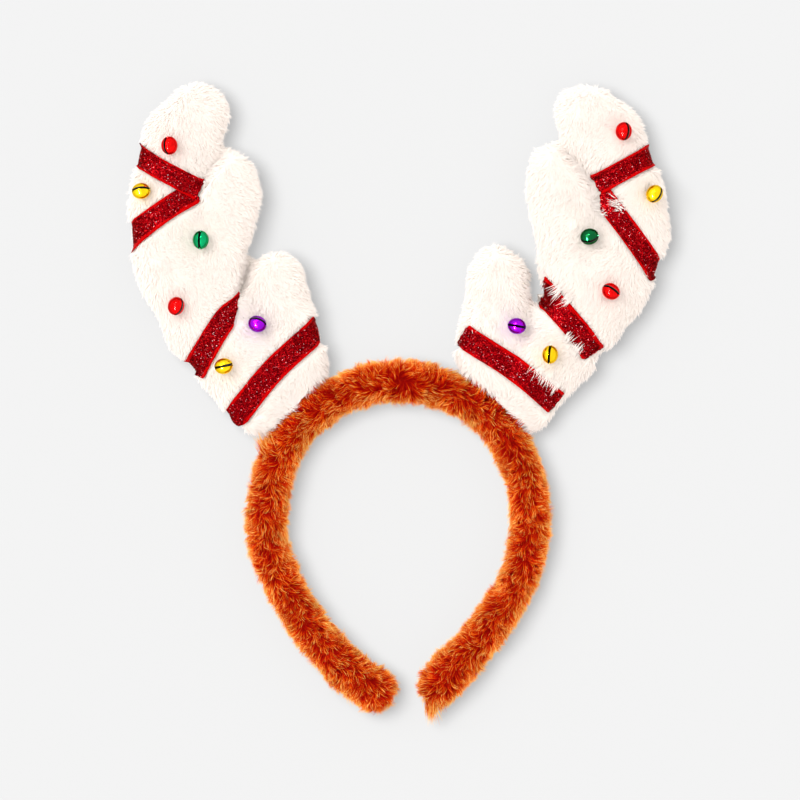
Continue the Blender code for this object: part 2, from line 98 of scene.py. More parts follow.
# Ribbons: points as shares of ANTLER_HEIGHT from the antler's seat, width as a share of
# RIBBON_WIDTH, how many ribbons lie under this one, and how much further, in millimetres, each
# end goes on the strip's left than in its middle
RIBBONS = {
    "left": [
        # name, points, width, layer, first slant, last slant
        ("upper", [(-0.450, 0.700), (-0.375, 0.653), (-0.258, 0.590)], 0.92, 1, 0, 0),
        ("second", [(-0.480, 0.450), (-0.345, 0.547), (-0.270, 0.590)], 0.98, 0, 0, 0),
        ("third", [(-0.285, 0.080), (-0.200, 0.220), (-0.156, 0.261)], 1.02, 0, 0, 7),
        ("lower", [(-0.196, -0.088), (-0.060, 0.085), (0.085, 0.215)], 1.06, 0, -3, 0),
    ],
    "right": [
        ("upper", [(0.440, 0.700), (0.340, 0.646), (0.256, 0.600)], 0.92, 1, 0, 0),
        ("second", [(0.270, 0.580), (0.360, 0.460), (0.440, 0.350)], 0.92, 0, 6, 0),
        ("third", [(0.105, 0.310), (0.205, 0.197), (0.253, 0.128)], 1.04, 0, 5, 0),
        ("lower", [(-0.120, 0.183), (0.025, 0.092), (0.150, -0.010)], 1.05, 0, 0, 0),
    ],
}

# Bells: place as shares of ANTLER_HEIGHT from the antler's seat, and the slot's turn and lean in
# degrees
BELLS = {
    "left": [
        # name, colour, across, up, turn, lean
        ("top", "red", -0.347, 0.718, 95, 35),
        ("outer", "gold", -0.426, 0.591, 5, 24),
        ("middle", "green", -0.259, 0.454, 88, 12),
        ("side", "red", -0.328, 0.269, 70, -45),
        ("inner", "purple", -0.101, 0.219, -20, 38),
        ("low", "gold", -0.195, 0.101, 12, 0),
    ],
    "right": [
        ("top", "red", 0.336, 0.753, 85, -35),
        ("outer", "gold", 0.422, 0.578, 55, -42),
        ("middle", "green", 0.240, 0.458, 15, -35),
        ("side", "red", 0.300, 0.305, -32, 22),
        ("inner", "purple", 0.037, 0.208, -10, 0),
        ("low", "gold", 0.130, 0.128, 85, 8),
    ],
}

# Fur: depth of its roots under the solid's surface, length and width of a hair, number of hairs
# and of the pieces along one, distance between locks and how far they draw together, lean from
# upright at the root and the tip, how closely packed the turns in the combing are and how far
# they go, how far each lock strays from it, curl, how far each hair strays from its lock, how rare
# the light hairs are, how much a hair's flat side is turned at random and how much upwards, how
# much its shading follows the body, and how much it is combed along the body and down its sides
BROWN = {
    "inset": 3.5 * MM,
    "length": 7.4 * MM,
    "width": 0.25 * MM,
    "hairs": 98000,
    "segments": 3,
    "lock": 1.3 * MM,
    "pull": 0.5,
    "lean": (36, 85),
    "flow": (85, 58),
    "stray": 15,
    "curl": 45,
    "turn": 15,
    "light": 2.0,
    "facing": 0.22,
    "lift": 0.7,
    "normal_mix": 0.6,
    "comb": (0.7, 1.1),
}
WHITE = {
    "inset": 1.2 * MM,
    "length": 4.2 * MM,
    "width": 0.28 * MM,
    "hairs": 51000,
    "segments": 2,
    "lock": 1.3 * MM,
    "pull": 0.25,
    "lean": (56, 87),
    "flow": (60, 30),
    "stray": 12,
    "curl": 16,
    "turn": 12,
    "light": 1,
    "facing": 0.06,
    "lift": 0.9,
    "normal_mix": 1.0,
    "comb": (0.7, 0.9),
}

MADE_SHARE = 1

# Skins: grain of the remesh, rounds of smoothing, share of its faces that a skin keeps, how deep
# it sinks at most as a share of the thickness, and its least height over the floor
VOXEL = 1.8 * MM
SMOOTHINGS = {"hoop": 8, "antler": 6}
SKIN_SHARE = 0.5
SINK_SHARE = 0.35
SKIN_FLOOR = 0.6 * MM


def hoop_centre():
    """The middle of the hoop, from the opening that the record states there."""
    boxes = {row["name"]: row["box_m"] for row in frame["record"]["physics"]["openings"]}
    low, high = boxes["head_opening"]
    return Vector(((low[0] + high[0]) / 2, (low[1] + high[1]) / 2))


CENTRE = hoop_centre()


def seat(side):
    """Where an antler sits on the hoop."""
    angle = math.radians(SEAT_ANGLES[side])
    return CENTRE + SEAT_REACH * Vector((math.cos(angle), math.sin(angle)))


def at_pixel(x, y):
    """The place under a pixel of the photograph."""
    middle = PHOTO_PIXELS / 2
    return Vector((PHOTO_CENTRE[0] + (x - middle) * PIXEL, PHOTO_CENTRE[1] - (y - middle) * PIXEL))


# Camera and light


def make_camera():
    data = bpy.data.cameras.new("camera")
    data.lens = LENS
    data.sensor_width = SENSOR
    camera = bpy.data.objects.new("camera", data)
    distance = PHOTO_PIXELS * PIXEL * LENS / SENSOR
    camera.location = (*PHOTO_CENTRE, VIEW_LEVEL + distance)
    bpy.context.scene.collection.objects.link(camera)
    bpy.context.scene.camera = camera


def make_sun(name, energy, angle, place):
    sun = bpy.data.lights.new(name, "SUN")
    sun.energy = energy
    sun.angle = math.radians(angle)
    lamp = bpy.data.objects.new(name, sun)
    lamp.rotation_euler = Vector(place).to_track_quat("Z", "Y").to_euler()
    bpy.context.scene.collection.objects.link(lamp)
    return lamp


def make_light():
    """A pale room and a wide sun from the upper left."""
    world = bpy.data.worlds.new("studio")
    world.use_nodes = True
    background = world.node_tree.nodes["Background"].inputs
    background["Color"].default_value = (1, 1, 1, 1)
    background["Strength"].default_value = SKY
    bpy.context.scene.world = world
    make_sun("sun", SUN, SUN_ANGLE, SUN_FROM)


def shine_only_on(lamp, receivers):
    """Let a lamp light some pieces and nothing else."""
    collection = bpy.data.collections.new(lamp.name + "_receivers")
    for piece in receivers:
        collection.objects.link(piece)
    lamp.light_linking.receiver_collection = collection


def make_softboxes(pieces):
    """Tall softboxes that the bells reflect, with their long sides along Y."""
    for name, place, size, power in SOFTBOXES:
        data = bpy.data.lights.new(name, "AREA")
        data.shape = "RECTANGLE"
        data.size, data.size_y = size
        data.energy = power
        box = bpy.data.objects.new(name, data)
        back = Vector(place).normalized()
        across = Vector((0, 1, 0)).cross(back).normalized()
        turn = Matrix((across, back.cross(across), back)).transposed().to_4x4()
        box.matrix_world = Matrix.Translation(place) @ turn
        box.visible_camera = False
        bpy.context.scene.collection.objects.link(box)
        shine_only_on(box, pieces)


def make_floor():
    """A pale floor with a sun of its own, which gives the narrow soft shadow beside the object."""
    bpy.ops.mesh.primitive_plane_add(size=FLOOR_SIZE, location=(0, 0, 0))
    floor = bpy.context.object
    floor.name = "floor"
    material, tree, shader = new_material("floor")
    set_inputs(tree, shader, {
        "Base Color": FLOOR_COLOUR,
        "Emission Color": (1, 1, 1, 1),
        "Emission Strength": FLOOR_GLOW,
        "Roughness": 0.95,
        "Specular IOR Level": 0.0,
    })
    floor.data.materials.append(material)
    shine_only_on(make_sun("floor_sun", FLOOR_SUN, FLOOR_SUN_ANGLE, FLOOR_SUN_FROM), [floor])


# Materials

# The ribbon's plain edge begins at this share of the half width
EDGE_START = 0.80

# Fur colours: stops from the root to the tip, how much a hair, its lock and the side of the body
# move it along them, the grain of the patches and the range of their brightness. The side's share is
# a painted rim light: the fur is lighter on the sides of the body and darker on its front
FUR_LOOKS = {
    "brown": {
        "stops": [
            (0.0, (0.31, 0.001, 0.0)),
            (0.26, (0.46, 0.005, 0.0001)),
            (0.52, (0.65, 0.034, 0.0004)),
            (0.76, (0.84, 0.18, 0.007)),
            (1.0, (0.97, 0.52, 0.12)),
        ],
        "shares": (0.68, 0.34, 0.66),
        "patch_scale": 80,
        "patch_values": (0.88, 1.12),
    },
    "white": {
        "stops": [
            (0.0, (0.91, 0.83, 0.765)),
            (0.5, (0.92, 0.84, 0.78)),
            (1.0, (0.93, 0.855, 0.80)),
        ],
        "shares": (0.3, 0.2, 0.0),
        "patch_scale": 60,
        "patch_values": (0.99, 1.01),
    },
}

# Backing under the fur: dark and light colour
SKIN_COLOURS = {
    "brown": ((0.30, 0.002, 0.0), (0.42, 0.006, 0.001)),
    "white": ((0.88, 0.81, 0.74), (0.92, 0.85, 0.78)),
}

# Bells: light and dark colour
BELL_COLOURS = {
    "red": ((0.86, 0.0, 0.0), (0.54, 0.0, 0.0)),
    "gold": ((0.93, 0.64, 0.004), (0.84, 0.47, 0.002)),
    "green": ((0.0, 0.36, 0.12), (0.0, 0.22, 0.07)),
    "dark_green": ((0.0, 0.12, 0.03), (0.0, 0.06, 0.014)),
    "purple": ((0.36, 0.0, 0.66), (0.22, 0.0, 0.46)),
}


def new_material(name):
    material = bpy.data.materials.new(name)
    material.use_nodes = True
    tree = material.node_tree
    return material, tree, tree.nodes["Principled BSDF"]


def set_inputs(tree, made, values):
    """Set a node's inputs, or link them to the outputs of other nodes."""
    for socket, value in values.items():
        if isinstance(value, bpy.types.NodeSocket):
            tree.links.new(value, made.inputs[socket])
        else:
            made.inputs[socket].default_value = value


def node(tree, kind, values, **settings):
    """Add a node, and set its properties and inputs."""
    made = tree.nodes.new(kind)
    for name, value in settings.items():
        setattr(made, name, value)
    set_inputs(tree, made, values)
    return made


def stored(tree, name):
    """The four values that a mesh stores at its points under a name."""
    data = node(tree, "ShaderNodeAttribute", {}, attribute_name=name).outputs
    parts = node(tree, "ShaderNodeSeparateColor", {"Color": data["Color"]}).outputs
    return parts["Red"], parts["Green"], parts["Blue"], data["Alpha"]


def calculate(tree, operation, *values):
    """A Math node's result."""
    return node(tree, "ShaderNodeMath", dict(enumerate(values)), operation=operation).outputs[0]


def ramp(tree, factor, stops):
    """A colour ramp with the given stops."""
    made = node(tree, "ShaderNodeValToRGB", {"Fac": factor})
    elements = made.color_ramp.elements
    while len(elements) < len(stops):
        elements.new(1)
    for element, (place, colour) in zip(elements, stops):
        element.position = place
        element.color = (*colour, 1)
    return made.outputs["Color"]


def grain(tree, scale, detail=2):
    """Noise over the object's own coordinates."""
    place = node(tree, "ShaderNodeTexCoord", {}).outputs["Object"]
    values = {"Vector": place, "Scale": scale, "Detail": detail}
    return node(tree, "ShaderNodeTexNoise", values).outputs["Fac"]


def dim(tree, colour, noise_value, values):
    """A colour whose brightness follows a noise between two values."""
    low, high = values
    span = {"Value": noise_value, "From Min": 0.35, "From Max": 0.65, "To Min": low, "To Max": high}
    value = node(tree, "ShaderNodeMapRange", span).outputs["Result"]
    return node(tree, "ShaderNodeHueSaturation", {"Color": colour, "Value": value}).outputs["Color"]


def roughen(tree, shader, height, distance, strength=0.5):
    """Bump on a shader."""
    bump = node(tree, "ShaderNodeBump", {"Height": height, "Distance": distance, "Strength": strength})
    tree.links.new(bump.outputs["Normal"], shader.inputs["Normal"])


def fur_material(name, look):
    """Fur whose colour follows each hair from root to tip, differs between hairs and locks, and
    has a painted rim light: it is lighter on the sides of the body than on its front."""
    material, tree, shader = new_material(name)
    along, hair, lock, aside = stored(tree, "fur")
    # The side of the body adds a painted rim light: lighter sides, darker front
    # Each value moves the colour both ways, about a middle of its own
    for value, share, middle in zip((hair, lock, aside), look["shares"], (1 / 2, 1 / 2, 1 / 3)):
        moved = calculate(tree, "MULTIPLY_ADD", value, share, -share * middle)
        along = calculate(tree, "ADD", along, moved)
    colour = ramp(tree, along, look["stops"])
    set_inputs(tree, shader, {
        "Base Color": dim(tree, colour, grain(tree, look["patch_scale"]), look["patch_values"]),
        "Roughness": calculate(tree, "MULTIPLY_ADD", hair, 0.2, 0.6),
        "Specular IOR Level": 0.03,
    })
    return material


def skin_material(name, dark, light):
    """The backing under fur."""
    material, tree, shader = new_material(name)
    knit = grain(tree, 900)
    colour = ramp(tree, knit, [(0.3, dark), (0.7, light)])
    roughen(tree, shader, knit, 0.3 * MM)
    set_inputs(tree, shader, {"Base Color": colour, "Roughness": 0.95, "Specular IOR Level": 0.1})
    return material


def ribbon_material():
    """Crimson glitter between plain bright edges, split by the distance from the middle line."""
    material, tree, shader = new_material("ribbon_strip")
    from_middle, _, from_wide_edge, _ = stored(tree, "strip")
    place = node(tree, "ShaderNodeTexCoord", {}).outputs["Object"]
    cells = node(tree, "ShaderNodeTexVoronoi", {"Vector": place, "Scale": 2600})
    speck = node(tree, "ShaderNodeSeparateColor", {"Color": cells.outputs["Color"]})
    # Glitter cells and patches of random brightness: partly the glitter's own speckle, partly a painted
    # sparkle in the bright cells
    glitter = ramp(
        tree, speck.outputs["Red"],
        [
            (0.0, (0.05, 0.0, 0.001)), (0.5, (0.17, 0.0, 0.002)), (0.85, (0.42, 0.001, 0.003)),
            (1.0, (0.8, 0.02, 0.02)),
        ],
    )
    glitter = dim(tree, glitter, grain(tree, 420), (0.6, 1.25))
    weave = grain(tree, 700)
    plain = ramp(tree, weave, [(0.3, (0.40, 0.0, 0.001)), (0.7, (0.56, 0.001, 0.001))])
    ragged = calculate(tree, "MULTIPLY_ADD", weave, 0.06, from_middle)
    ragged = calculate(tree, "MULTIPLY_ADD", grain(tree, 110), 0.8, ragged)
    ragged = calculate(tree, "MULTIPLY_ADD", from_wide_edge, 0.16, ragged)
    ragged = calculate(tree, "SUBTRACT", ragged, 0.50)
    edge = node(
        tree, "ShaderNodeMapRange",
        {"Value": ragged, "From Min": EDGE_START, "From Max": EDGE_START + 0.04},
    ).outputs["Result"]
    colour = node(tree, "ShaderNodeMix", {"Factor": edge, 6: glitter, 7: plain}, data_type="RGBA")
    set_inputs(tree, shader, {
        "Base Color": colour.outputs[2],
        "Roughness": calculate(tree, "MULTIPLY_ADD", edge, 0.25, 0.32),
        "Metallic": calculate(tree, "MULTIPLY_ADD", edge, -0.7, 0.7),
        "Specular IOR Level": 0.06,
        "Specular Tint": (1, 0.2, 0.2, 1),
    })
    roughen(tree, shader, speck.outputs["Green"], 0.12 * MM, 0.6)
    return material


def flake_material():
    """Glitter flakes with a painted sparkle: their colour spreads from dark crimson to bright red, and a
    few are nearly white as painted glints.
    """
    material, tree, shader = new_material("glitter_flake")
    _, gloss, painted_sparkle, _ = stored(tree, "strip")
    # Painted sparkle: flakes from dark to bright red, the brightest nearly white glints
    colour = ramp(
        tree, painted_sparkle,
        [
            (0.0, (0.04, 0.0, 0.001)), (0.45, (0.13, 0.0, 0.002)), (0.80, (0.36, 0.001, 0.003)),
            (0.95, (0.76, 0.01, 0.02)), (0.975, (1.0, 0.25, 0.28)), (1.0, (1.0, 0.8, 0.8)),
        ],
    )
    set_inputs(tree, shader, {
        "Base Color": colour,
        "Roughness": calculate(tree, "MULTIPLY_ADD", gloss, 0.3, 0.2),
        "Metallic": 1.0,
        "Specular Tint": (1, 0.3, 0.3, 1),
    })
    return material


def bell_material(name, light, dark):
    """Tinted lacquer over polished metal."""
    material, tree, shader = new_material(name)
    smudge = grain(tree, 220, 3)
    roughen(tree, shader, smudge, 0.04 * MM, 0.3)
    set_inputs(tree, shader, {
        "Base Color": ramp(tree, smudge, [(0.3, dark), (0.65, light)]),
        "Roughness": calculate(tree, "MULTIPLY_ADD", smudge, 0.16, 0.10),
        "Metallic": 1.0,
        "Specular Tint": (*(0.7 * value + 0.3 for value in light), 1),
        "Coat Weight": 0.12,
        "Coat Roughness": 0.05,
    })
    return material


def painted_inside_shade_material():
    """The inside of a bell, painted nearly black as shade."""
    material, tree, shader = new_material("bell_inside_painted_shade")
    colour = ramp(tree, grain(tree, 400), [(0.3, (0.004, 0.003, 0.003)), (0.7, (0.02, 0.015, 0.012))])
    set_inputs(tree, shader, {"Base Color": colour, "Roughness": 0.8})
    return material


# Meshes


def new_object(name, mesh, materials):
    for material in materials:
        mesh.materials.append(material)
    obj = bpy.data.objects.new(name, mesh)
    bpy.context.scene.collection.objects.link(obj)
    return obj


def apply_modifiers(obj):
    """Replace an object's mesh by what its modifiers make of it."""
    evaluated = obj.evaluated_get(bpy.context.evaluated_depsgraph_get())
    mesh = bpy.data.meshes.new_from_object(evaluated)
    obj.modifiers.clear()
    obj.data = mesh


def modify(obj, kind, **settings):
    modifier = obj.modifiers.new(kind.lower(), kind)
    for name, value in settings.items():
        setattr(modifier, name, value)


def set_colours(mesh, name, colours):
    """Store a colour for each point of a mesh."""
    attribute = mesh.color_attributes.new(name, "FLOAT_COLOR", "POINT")
    attribute.data.foreach_set("color", np.ascontiguousarray(colours, np.float32).ravel())


def unit(vectors):
    """Rows scaled to length 1."""
    lengths = np.linalg.norm(vectors, axis=-1, keepdims=True)
    return vectors / np.maximum(lengths, 1e-12)


def dot(a, b):
    return np.sum(a * b, axis=-1, keepdims=True)


class Surface:
    """The points, triangles and smooth normals of a closed mesh, and a tree to search it."""

    def __init__(self, mesh):
        mesh.calc_loop_triangles()
        points = np.empty(len(mesh.vertices) * 3, np.float32)
        mesh.vertices.foreach_get("co", points)
        faces = np.empty(len(mesh.loop_triangles) * 3, np.int32)
        mesh.loop_triangles.foreach_get("vertices", faces)
        self.points = points.reshape(-1, 3).astype(float)
        self.faces = faces.reshape(-1, 3)
        self.refresh()

    def refresh(self):
        """Work out the normals and the tree again after the points have moved."""
        a, b, c = (self.points[self.faces[:, i]] for i in range(3))
        flat = np.cross(b - a, c - a)
        normals = np.zeros_like(self.points)
        for i in range(3):
            np.add.at(normals, self.faces[:, i], flat)
        self.normals = unit(normals)
        self.areas = np.linalg.norm(flat, axis=1) / 2
        self.tree = BVHTree.FromPolygons(self.points.tolist(), self.faces.tolist())

    def scatter(self, count, chance, weight):
        """Random places with their normals, spread by area times a weight for each triangle."""
        share = self.areas * weight
        picked = chance.choice(len(share), count, p=share / share.sum())
        u, v = chance.random((2, count))
        over = u + v > 1
        u[over], v[over] = 1 - u[over], 1 - v[over]
        mix = np.stack([1 - u - v, u, v], axis=1)[:, :, None]
        corners = self.faces[picked]
        return (self.points[corners] * mix).sum(1), unit((self.normals[corners] * mix).sum(1))


def soft_surface(name, smoothings):
    """A CAD node's outer form, remeshed and smoothed."""
    copy = bpy.data.objects.new("copy", frame["nodes"][name].data.copy())
    bpy.context.scene.collection.objects.link(copy)
    modify(copy, "WELD", merge_threshold=0.01 * MM)
    modify(copy, "REMESH", mode="VOXEL", voxel_size=VOXEL)
    modify(copy, "SMOOTH", factor=0.5, iterations=smoothings)
    apply_modifiers(copy)
    surface = Surface(copy.data)
    bpy.data.objects.remove(copy)
    return surface


def thickness(surface, limit):
    """How thick the surface's body is under each of its points, up to a limit."""
    found = []
    for point, normal in zip(surface.points, surface.normals):
        start = Vector(point - normal * 0.05 * MM)
        hit = surface.tree.ray_cast(start, Vector(-normal), limit)[3]
        found.append(limit if hit is None else hit)
    return np.array(found)[:, None]


def sink(surface, inset):
    """A copy of a surface that lies under it, thinner where the body is thin."""
    deep = np.minimum(inset, SINK_SHARE * thickness(surface, 4 * inset))
    lower = object.__new__(Surface)
    lower.faces = surface.faces
    lower.points = surface.points - surface.normals * deep
    lower.points[:, 2] = np.maximum(lower.points[:, 2], SKIN_FLOOR)
    lower.refresh()
    return lower


def make_skin(name, surface, material, node_name):
    """The soft body that the fur grows from. It stands for the CAD node."""
    mesh = bpy.data.meshes.new(name)
    mesh.from_pydata(surface.points.tolist(), [], surface.faces.tolist())
    mesh.polygons.foreach_set("use_smooth", [True] * len(mesh.polygons))
    skin = new_object(name, mesh, [material])
    modify(skin, "DECIMATE", ratio=SKIN_SHARE)
    apply_modifiers(skin)
    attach(skin, "root")
    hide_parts(node_name)
    return skin


# Fur

# How lengths, leans and curls differ between locks and between the hairs of one, how much of a
# lock's own lean its roots have, and how the hairs draw together towards the tip
LOCK_LENGTHS = (0.80, 1.16)
LOCK_LEAN = 9
LOCK_CURLS = (0.4, 1.3)
HAIR_LENGTHS = (0.82, 1.08)
HAIR_LEAN = 7
ROOT_LEAN = 0.5
PULLS = (0.75, 1.15)
PULL_POWER = 1.2

# A blade's narrowing towards its tip, its least width and what a light hair adds, and its least
# height over the floor
TAPER = 0.75
TAPER_POWER = 1.6
BLADE_WIDTHS = (0.8, 0.55)
BLADE_FLOOR = 0.05 * MM

# Up to these heights over the floor there are fewer hairs: height, share
UNDERSIDE = ((4 * MM, 0.25), (9 * MM, 0.6))


def grow(roots, normals, comb, lengths, lean, curl, levels):
    """Strands that leave the roots and bend over towards the comb's direction."""
    across = np.cross(normals, comb)
    strands = [roots]
    for level in range(levels):
        share = (level + 0.5) / levels
        angle = lean[0] + (lean[1] - lean[0]) * share
        twist = curl * share
        ahead = comb * np.cos(twist) + across * np.sin(twist)
        step = normals * np.cos(angle) + ahead * np.sin(angle)
        strands.append(strands[-1] + step * lengths / levels)
    return np.stack(strands, axis=1)


def turned(vectors, axes, angles):
    """Tangent vectors turned about their normals."""
    return vectors * np.cos(angles) + np.cross(axes, vectors) * np.sin(angles)


def comb_strands(places, normals, comb_at, kind, chance, stretch, density):
    """Combed strands, drawn together into locks. It gives the strands, and a shade for each."""
    count = len(places)
    locks = max(2, int(count / density / kind["lock"]**2))
    picked = chance.choice(count, locks, replace=False)
    tree = KDTree(locks)
    for i, place in enumerate(places[picked]):
        tree.insert(place, i)
    tree.balance()
    owner = np.array([tree.find(place)[1] for place in places])
    pitch, reach = kind["flow"]
    flow = np.array([[noise.noise(Vector(place) * pitch)] for place in places[picked]])
    each = (locks, 1)
    lock_turn = np.radians(kind["stray"]) * chance.normal(0, 1, each) + np.radians(2 * reach) * flow
    lock_curl = np.radians(kind["curl"]) * chance.choice((-1, 1), each)
    lock_curl *= chance.uniform(*LOCK_CURLS, each)
    lock_length = chance.uniform(*LOCK_LENGTHS, each)
    lock_lean = chance.normal(0, 1, each) * np.radians(LOCK_LEAN)
    lock_shade = chance.random(each)
    low, high = (np.radians(angle) for angle in kind["lean"])

    def strands(at, facing, which, turn, length, lean_more):
        comb = turned(comb_at(at, facing), facing, lock_turn[which] + turn)
        lean = (low + lock_lean[which] * ROOT_LEAN + lean_more, high + lock_lean[which] + lean_more)
        return grow(at, facing, comb, length, lean, lock_curl[which], kind["segments"])

    spine_length = kind["length"] * lock_length * stretch[picked]
    spines = strands(places[picked], normals[picked], np.arange(locks), np.zeros(each), spine_length, 0)
    hair_turn = np.radians(kind["turn"]) * chance.normal(0, 1, (count, 1))
    hair_length = chance.uniform(*HAIR_LENGTHS, (count, 1)) * lock_length[owner] * stretch
    hair_lean = np.radians(HAIR_LEAN) * chance.normal(0, 1, (count, 1))
    own = strands(places, normals, owner, hair_turn, kind["length"] * hair_length, hair_lean)
    levels = np.linspace(0, 1, kind["segments"] + 1)[None, :, None]
    pull = kind["pull"] * levels**PULL_POWER * chance.uniform(*PULLS, (count, 1, 1))
    return own + (spines[owner] - own) * np.minimum(pull, 1), lock_shade[owner]


def blade_mesh(name, strands, normals, lock_shade, kind, chance):
    """Flat tapering blades along strands, as one mesh, with shading normals that follow the skin.
    Its colours hold the share along a hair, its light, its lock's shade and how far aside it is; the last
    drives a painted rim light in the material."""
    count, levels = strands.shape[:2]
    segments = levels - 1
    ahead = unit(np.gradient(strands, axis=1))
    front = unit(normals + np.array([0, 0, kind["lift"]]))[:, None, :]
    facing = front + chance.normal(0, kind["facing"], (count, 1, 3))
    sides = unit(np.cross(ahead, facing))
    share = np.linspace(0, 1, levels)
    taper = (1 - TAPER * share**TAPER_POWER)[None, :, None]
    light = chance.random((count, 1)) ** kind["light"]
    least, more = BLADE_WIDTHS
    widths = kind["width"] * (least + more * light[:, :, None]) * taper
    left = strands - sides * widths / 2
    right = strands + sides * widths / 2
    pairs = np.stack([left[:, :-1], right[:, :-1]], axis=2).reshape(count, -1, 3)
    points = np.concatenate([pairs, strands[:, -1:]], axis=1)
    each = 2 * segments + 1
    base = []
    sizes = []
    for i in range(segments - 1):
        base += [2 * i, 2 * i + 1, 2 * i + 3, 2 * i + 2]
        sizes.append(4)
    base += [2 * segments - 2, 2 * segments - 1, 2 * segments]
    sizes.append(3)
    corners = (np.arange(count)[:, None] * each + np.array(base)[None, :]).ravel()
    totals = np.tile(sizes, count)
    starts = np.concatenate([[0], np.cumsum(totals)[:-1]])
    points[..., 2] = np.maximum(points[..., 2], BLADE_FLOOR)
    mesh = bpy.data.meshes.new(name)
    mesh.vertices.add(count * each)
    mesh.vertices.foreach_set("co", points.astype(np.float32).ravel())
    mesh.loops.add(len(corners))
    mesh.loops.foreach_set("vertex_index", corners.astype(np.int32))
    mesh.polygons.add(len(totals))
    mesh.polygons.foreach_set("loop_start", starts.astype(np.int32))
    mesh.update(calc_edges=True)
    along = np.concatenate([np.repeat(share[:-1], 2), [1.0]])
    colours = np.ones((count, each, 4), np.float32)
    colours[..., 0] = along
    colours[..., 1] = light
    colours[..., 2] = lock_shade
    # How far the root faces aside, which the material turns into a painted rim light
    colours[..., 3] = 1 - np.maximum(normals[:, 2:3], 0)
    set_colours(mesh, "fur", colours)
    flat = unit(np.cross(sides, ahead))
    mixed = unit(flat * (1 - kind["normal_mix"]) + front * kind["normal_mix"])
    shading = np.concatenate([np.repeat(mixed[:, :-1], 2, axis=1), mixed[:, -1:]], axis=1)
    mesh.normals_split_custom_set_from_vertices(shading.reshape(-1, 3).tolist())
    return mesh


def add_fur(prefix, strands, normals, shade, kind, finish, pieces, chance):
    """Fur as a few joined meshes. The finish is a material, the CAD node and its slot; the slot is not
    used.
    """
    material, node_name, slot_name = finish
    order = chance.permutation(len(strands))
    for i, part in enumerate(np.array_split(order, pieces)):
        name = f"{prefix}_{i + 1}"
        mesh = blade_mesh(name, strands[part], normals[part], shade[part], kind, chance)
        fur = new_object(name, mesh, [material])
        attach(fur, "root")
        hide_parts(node_name)


def plant(surface, kind, chance):
    """The roots of a body's hairs, with their normals and how many there are for each area. There
    are fewer on the underside, which lies on the floor."""
    height = surface.points[surface.faces].mean(1)[:, 2]
    (lowest, few), (low, some) = UNDERSIDE
    weight = np.where(height < lowest, few, np.where(height < low, some, 1.0))
    count = int(kind["hairs"] * MADE_SHARE)
    places, normals = surface.scatter(count, chance, weight)
    return places, normals, count / (surface.areas * weight).sum()


# Tufts that lie over a bell, a ribbon's edge or the floor: what they grow on, their roots and
# where they point to in pixels of the photograph, how high they rise and how wide they spread in
# millimetres, the number of hairs and the least shade of a hair
TUFTS = [
    # on, roots, towards, rise, spread, hairs, shade
    ("right", (646, 193), (652, 193), 7, 3, 36, 0),
    ("right", (649, 186), (652, 190), 7, 1.5, 14, 0),
    ("right", (603, 297), (607, 294), 7, 2, 20, 0),
    ("right", (621, 204), (611, 202), 3.6, 3, 40, 0),
    ("right", (625, 211), (616, 207), 3.6, 2, 22, 0),
    ("right", (592, 205), (602, 207), 3.6, 2.5, 34, 0),
    ("right", (598, 214), (606, 213), 3.6, 2, 24, 0),
    ("right", (561, 288), (551, 296), 3.2, 2.5, 40, 0),
    ("right", (571, 297), (562, 304), 3.2, 2.5, 45, 0),
    ("right", (564, 342), (571, 333), 3.4, 2, 35, 0),
    ("right", (573, 355), (580, 344), 3.4, 2.5, 60, 0),
    ("right", (542, 366), (536, 377), 2.8, 3, 42, 0),
    ("right", (550, 372), (544, 384), 2.8, 3, 56, 0),
    ("right", (559, 379), (552, 390), 2.8, 3, 56, 0),
    ("right", (470, 325), (474, 340), 2.5, 1.5, 25, 0),
    ("hoop", (429, 700), (431, 718), 0, 2.2, 380, 0.6),
    ("hoop", (437, 700), (440, 709), 0, 3.2, 170, 0.6),
    ("hoop", (268, 454), (262, 440), 0.5, 3, 170, 0.4),
    ("hoop", (316, 394), (309, 386), 3, 5, 130, 0),
    ("hoop", (306, 408), (298, 401), 3, 5, 130, 0),
    ("hoop", (294, 424), (287, 417), 3, 5, 120, 0),
    ("hoop", (478, 393), (483, 385), 3, 5, 120, 0),
    ("hoop", (497, 405), (503, 398), 3, 5, 120, 0),
    ("hoop", (514, 420), (520, 413), 3, 5, 110, 0),
]

# How far the hairs of a tuft stray, how long they are, how far round a wave their rise follows,
# how far they drop from root to tip, how deep their roots lie, the rise below which a tuft lies
# flat, and how much its shading faces forward, lying or raised, and up
TUFT_STRAY = 0.18
TUFT_LENGTHS = (0.7, 1.15)
TUFT_BEND = 2.4
TUFT_DROP = 2 * MM
TUFT_ROOT = 1 * MM
TUFT_LYING = 1
TUFT_FORWARD = (1.0, 0.2)
TUFT_UP = 0.5

# A height over the whole object
RAY_HEIGHT = 0.1


def drop_on(surface, place):
    """The point of a surface under a place, or None."""
    return surface.tree.ray_cast(Vector((*place, RAY_HEIGHT)), Vector((0, 0, -1)))[0]


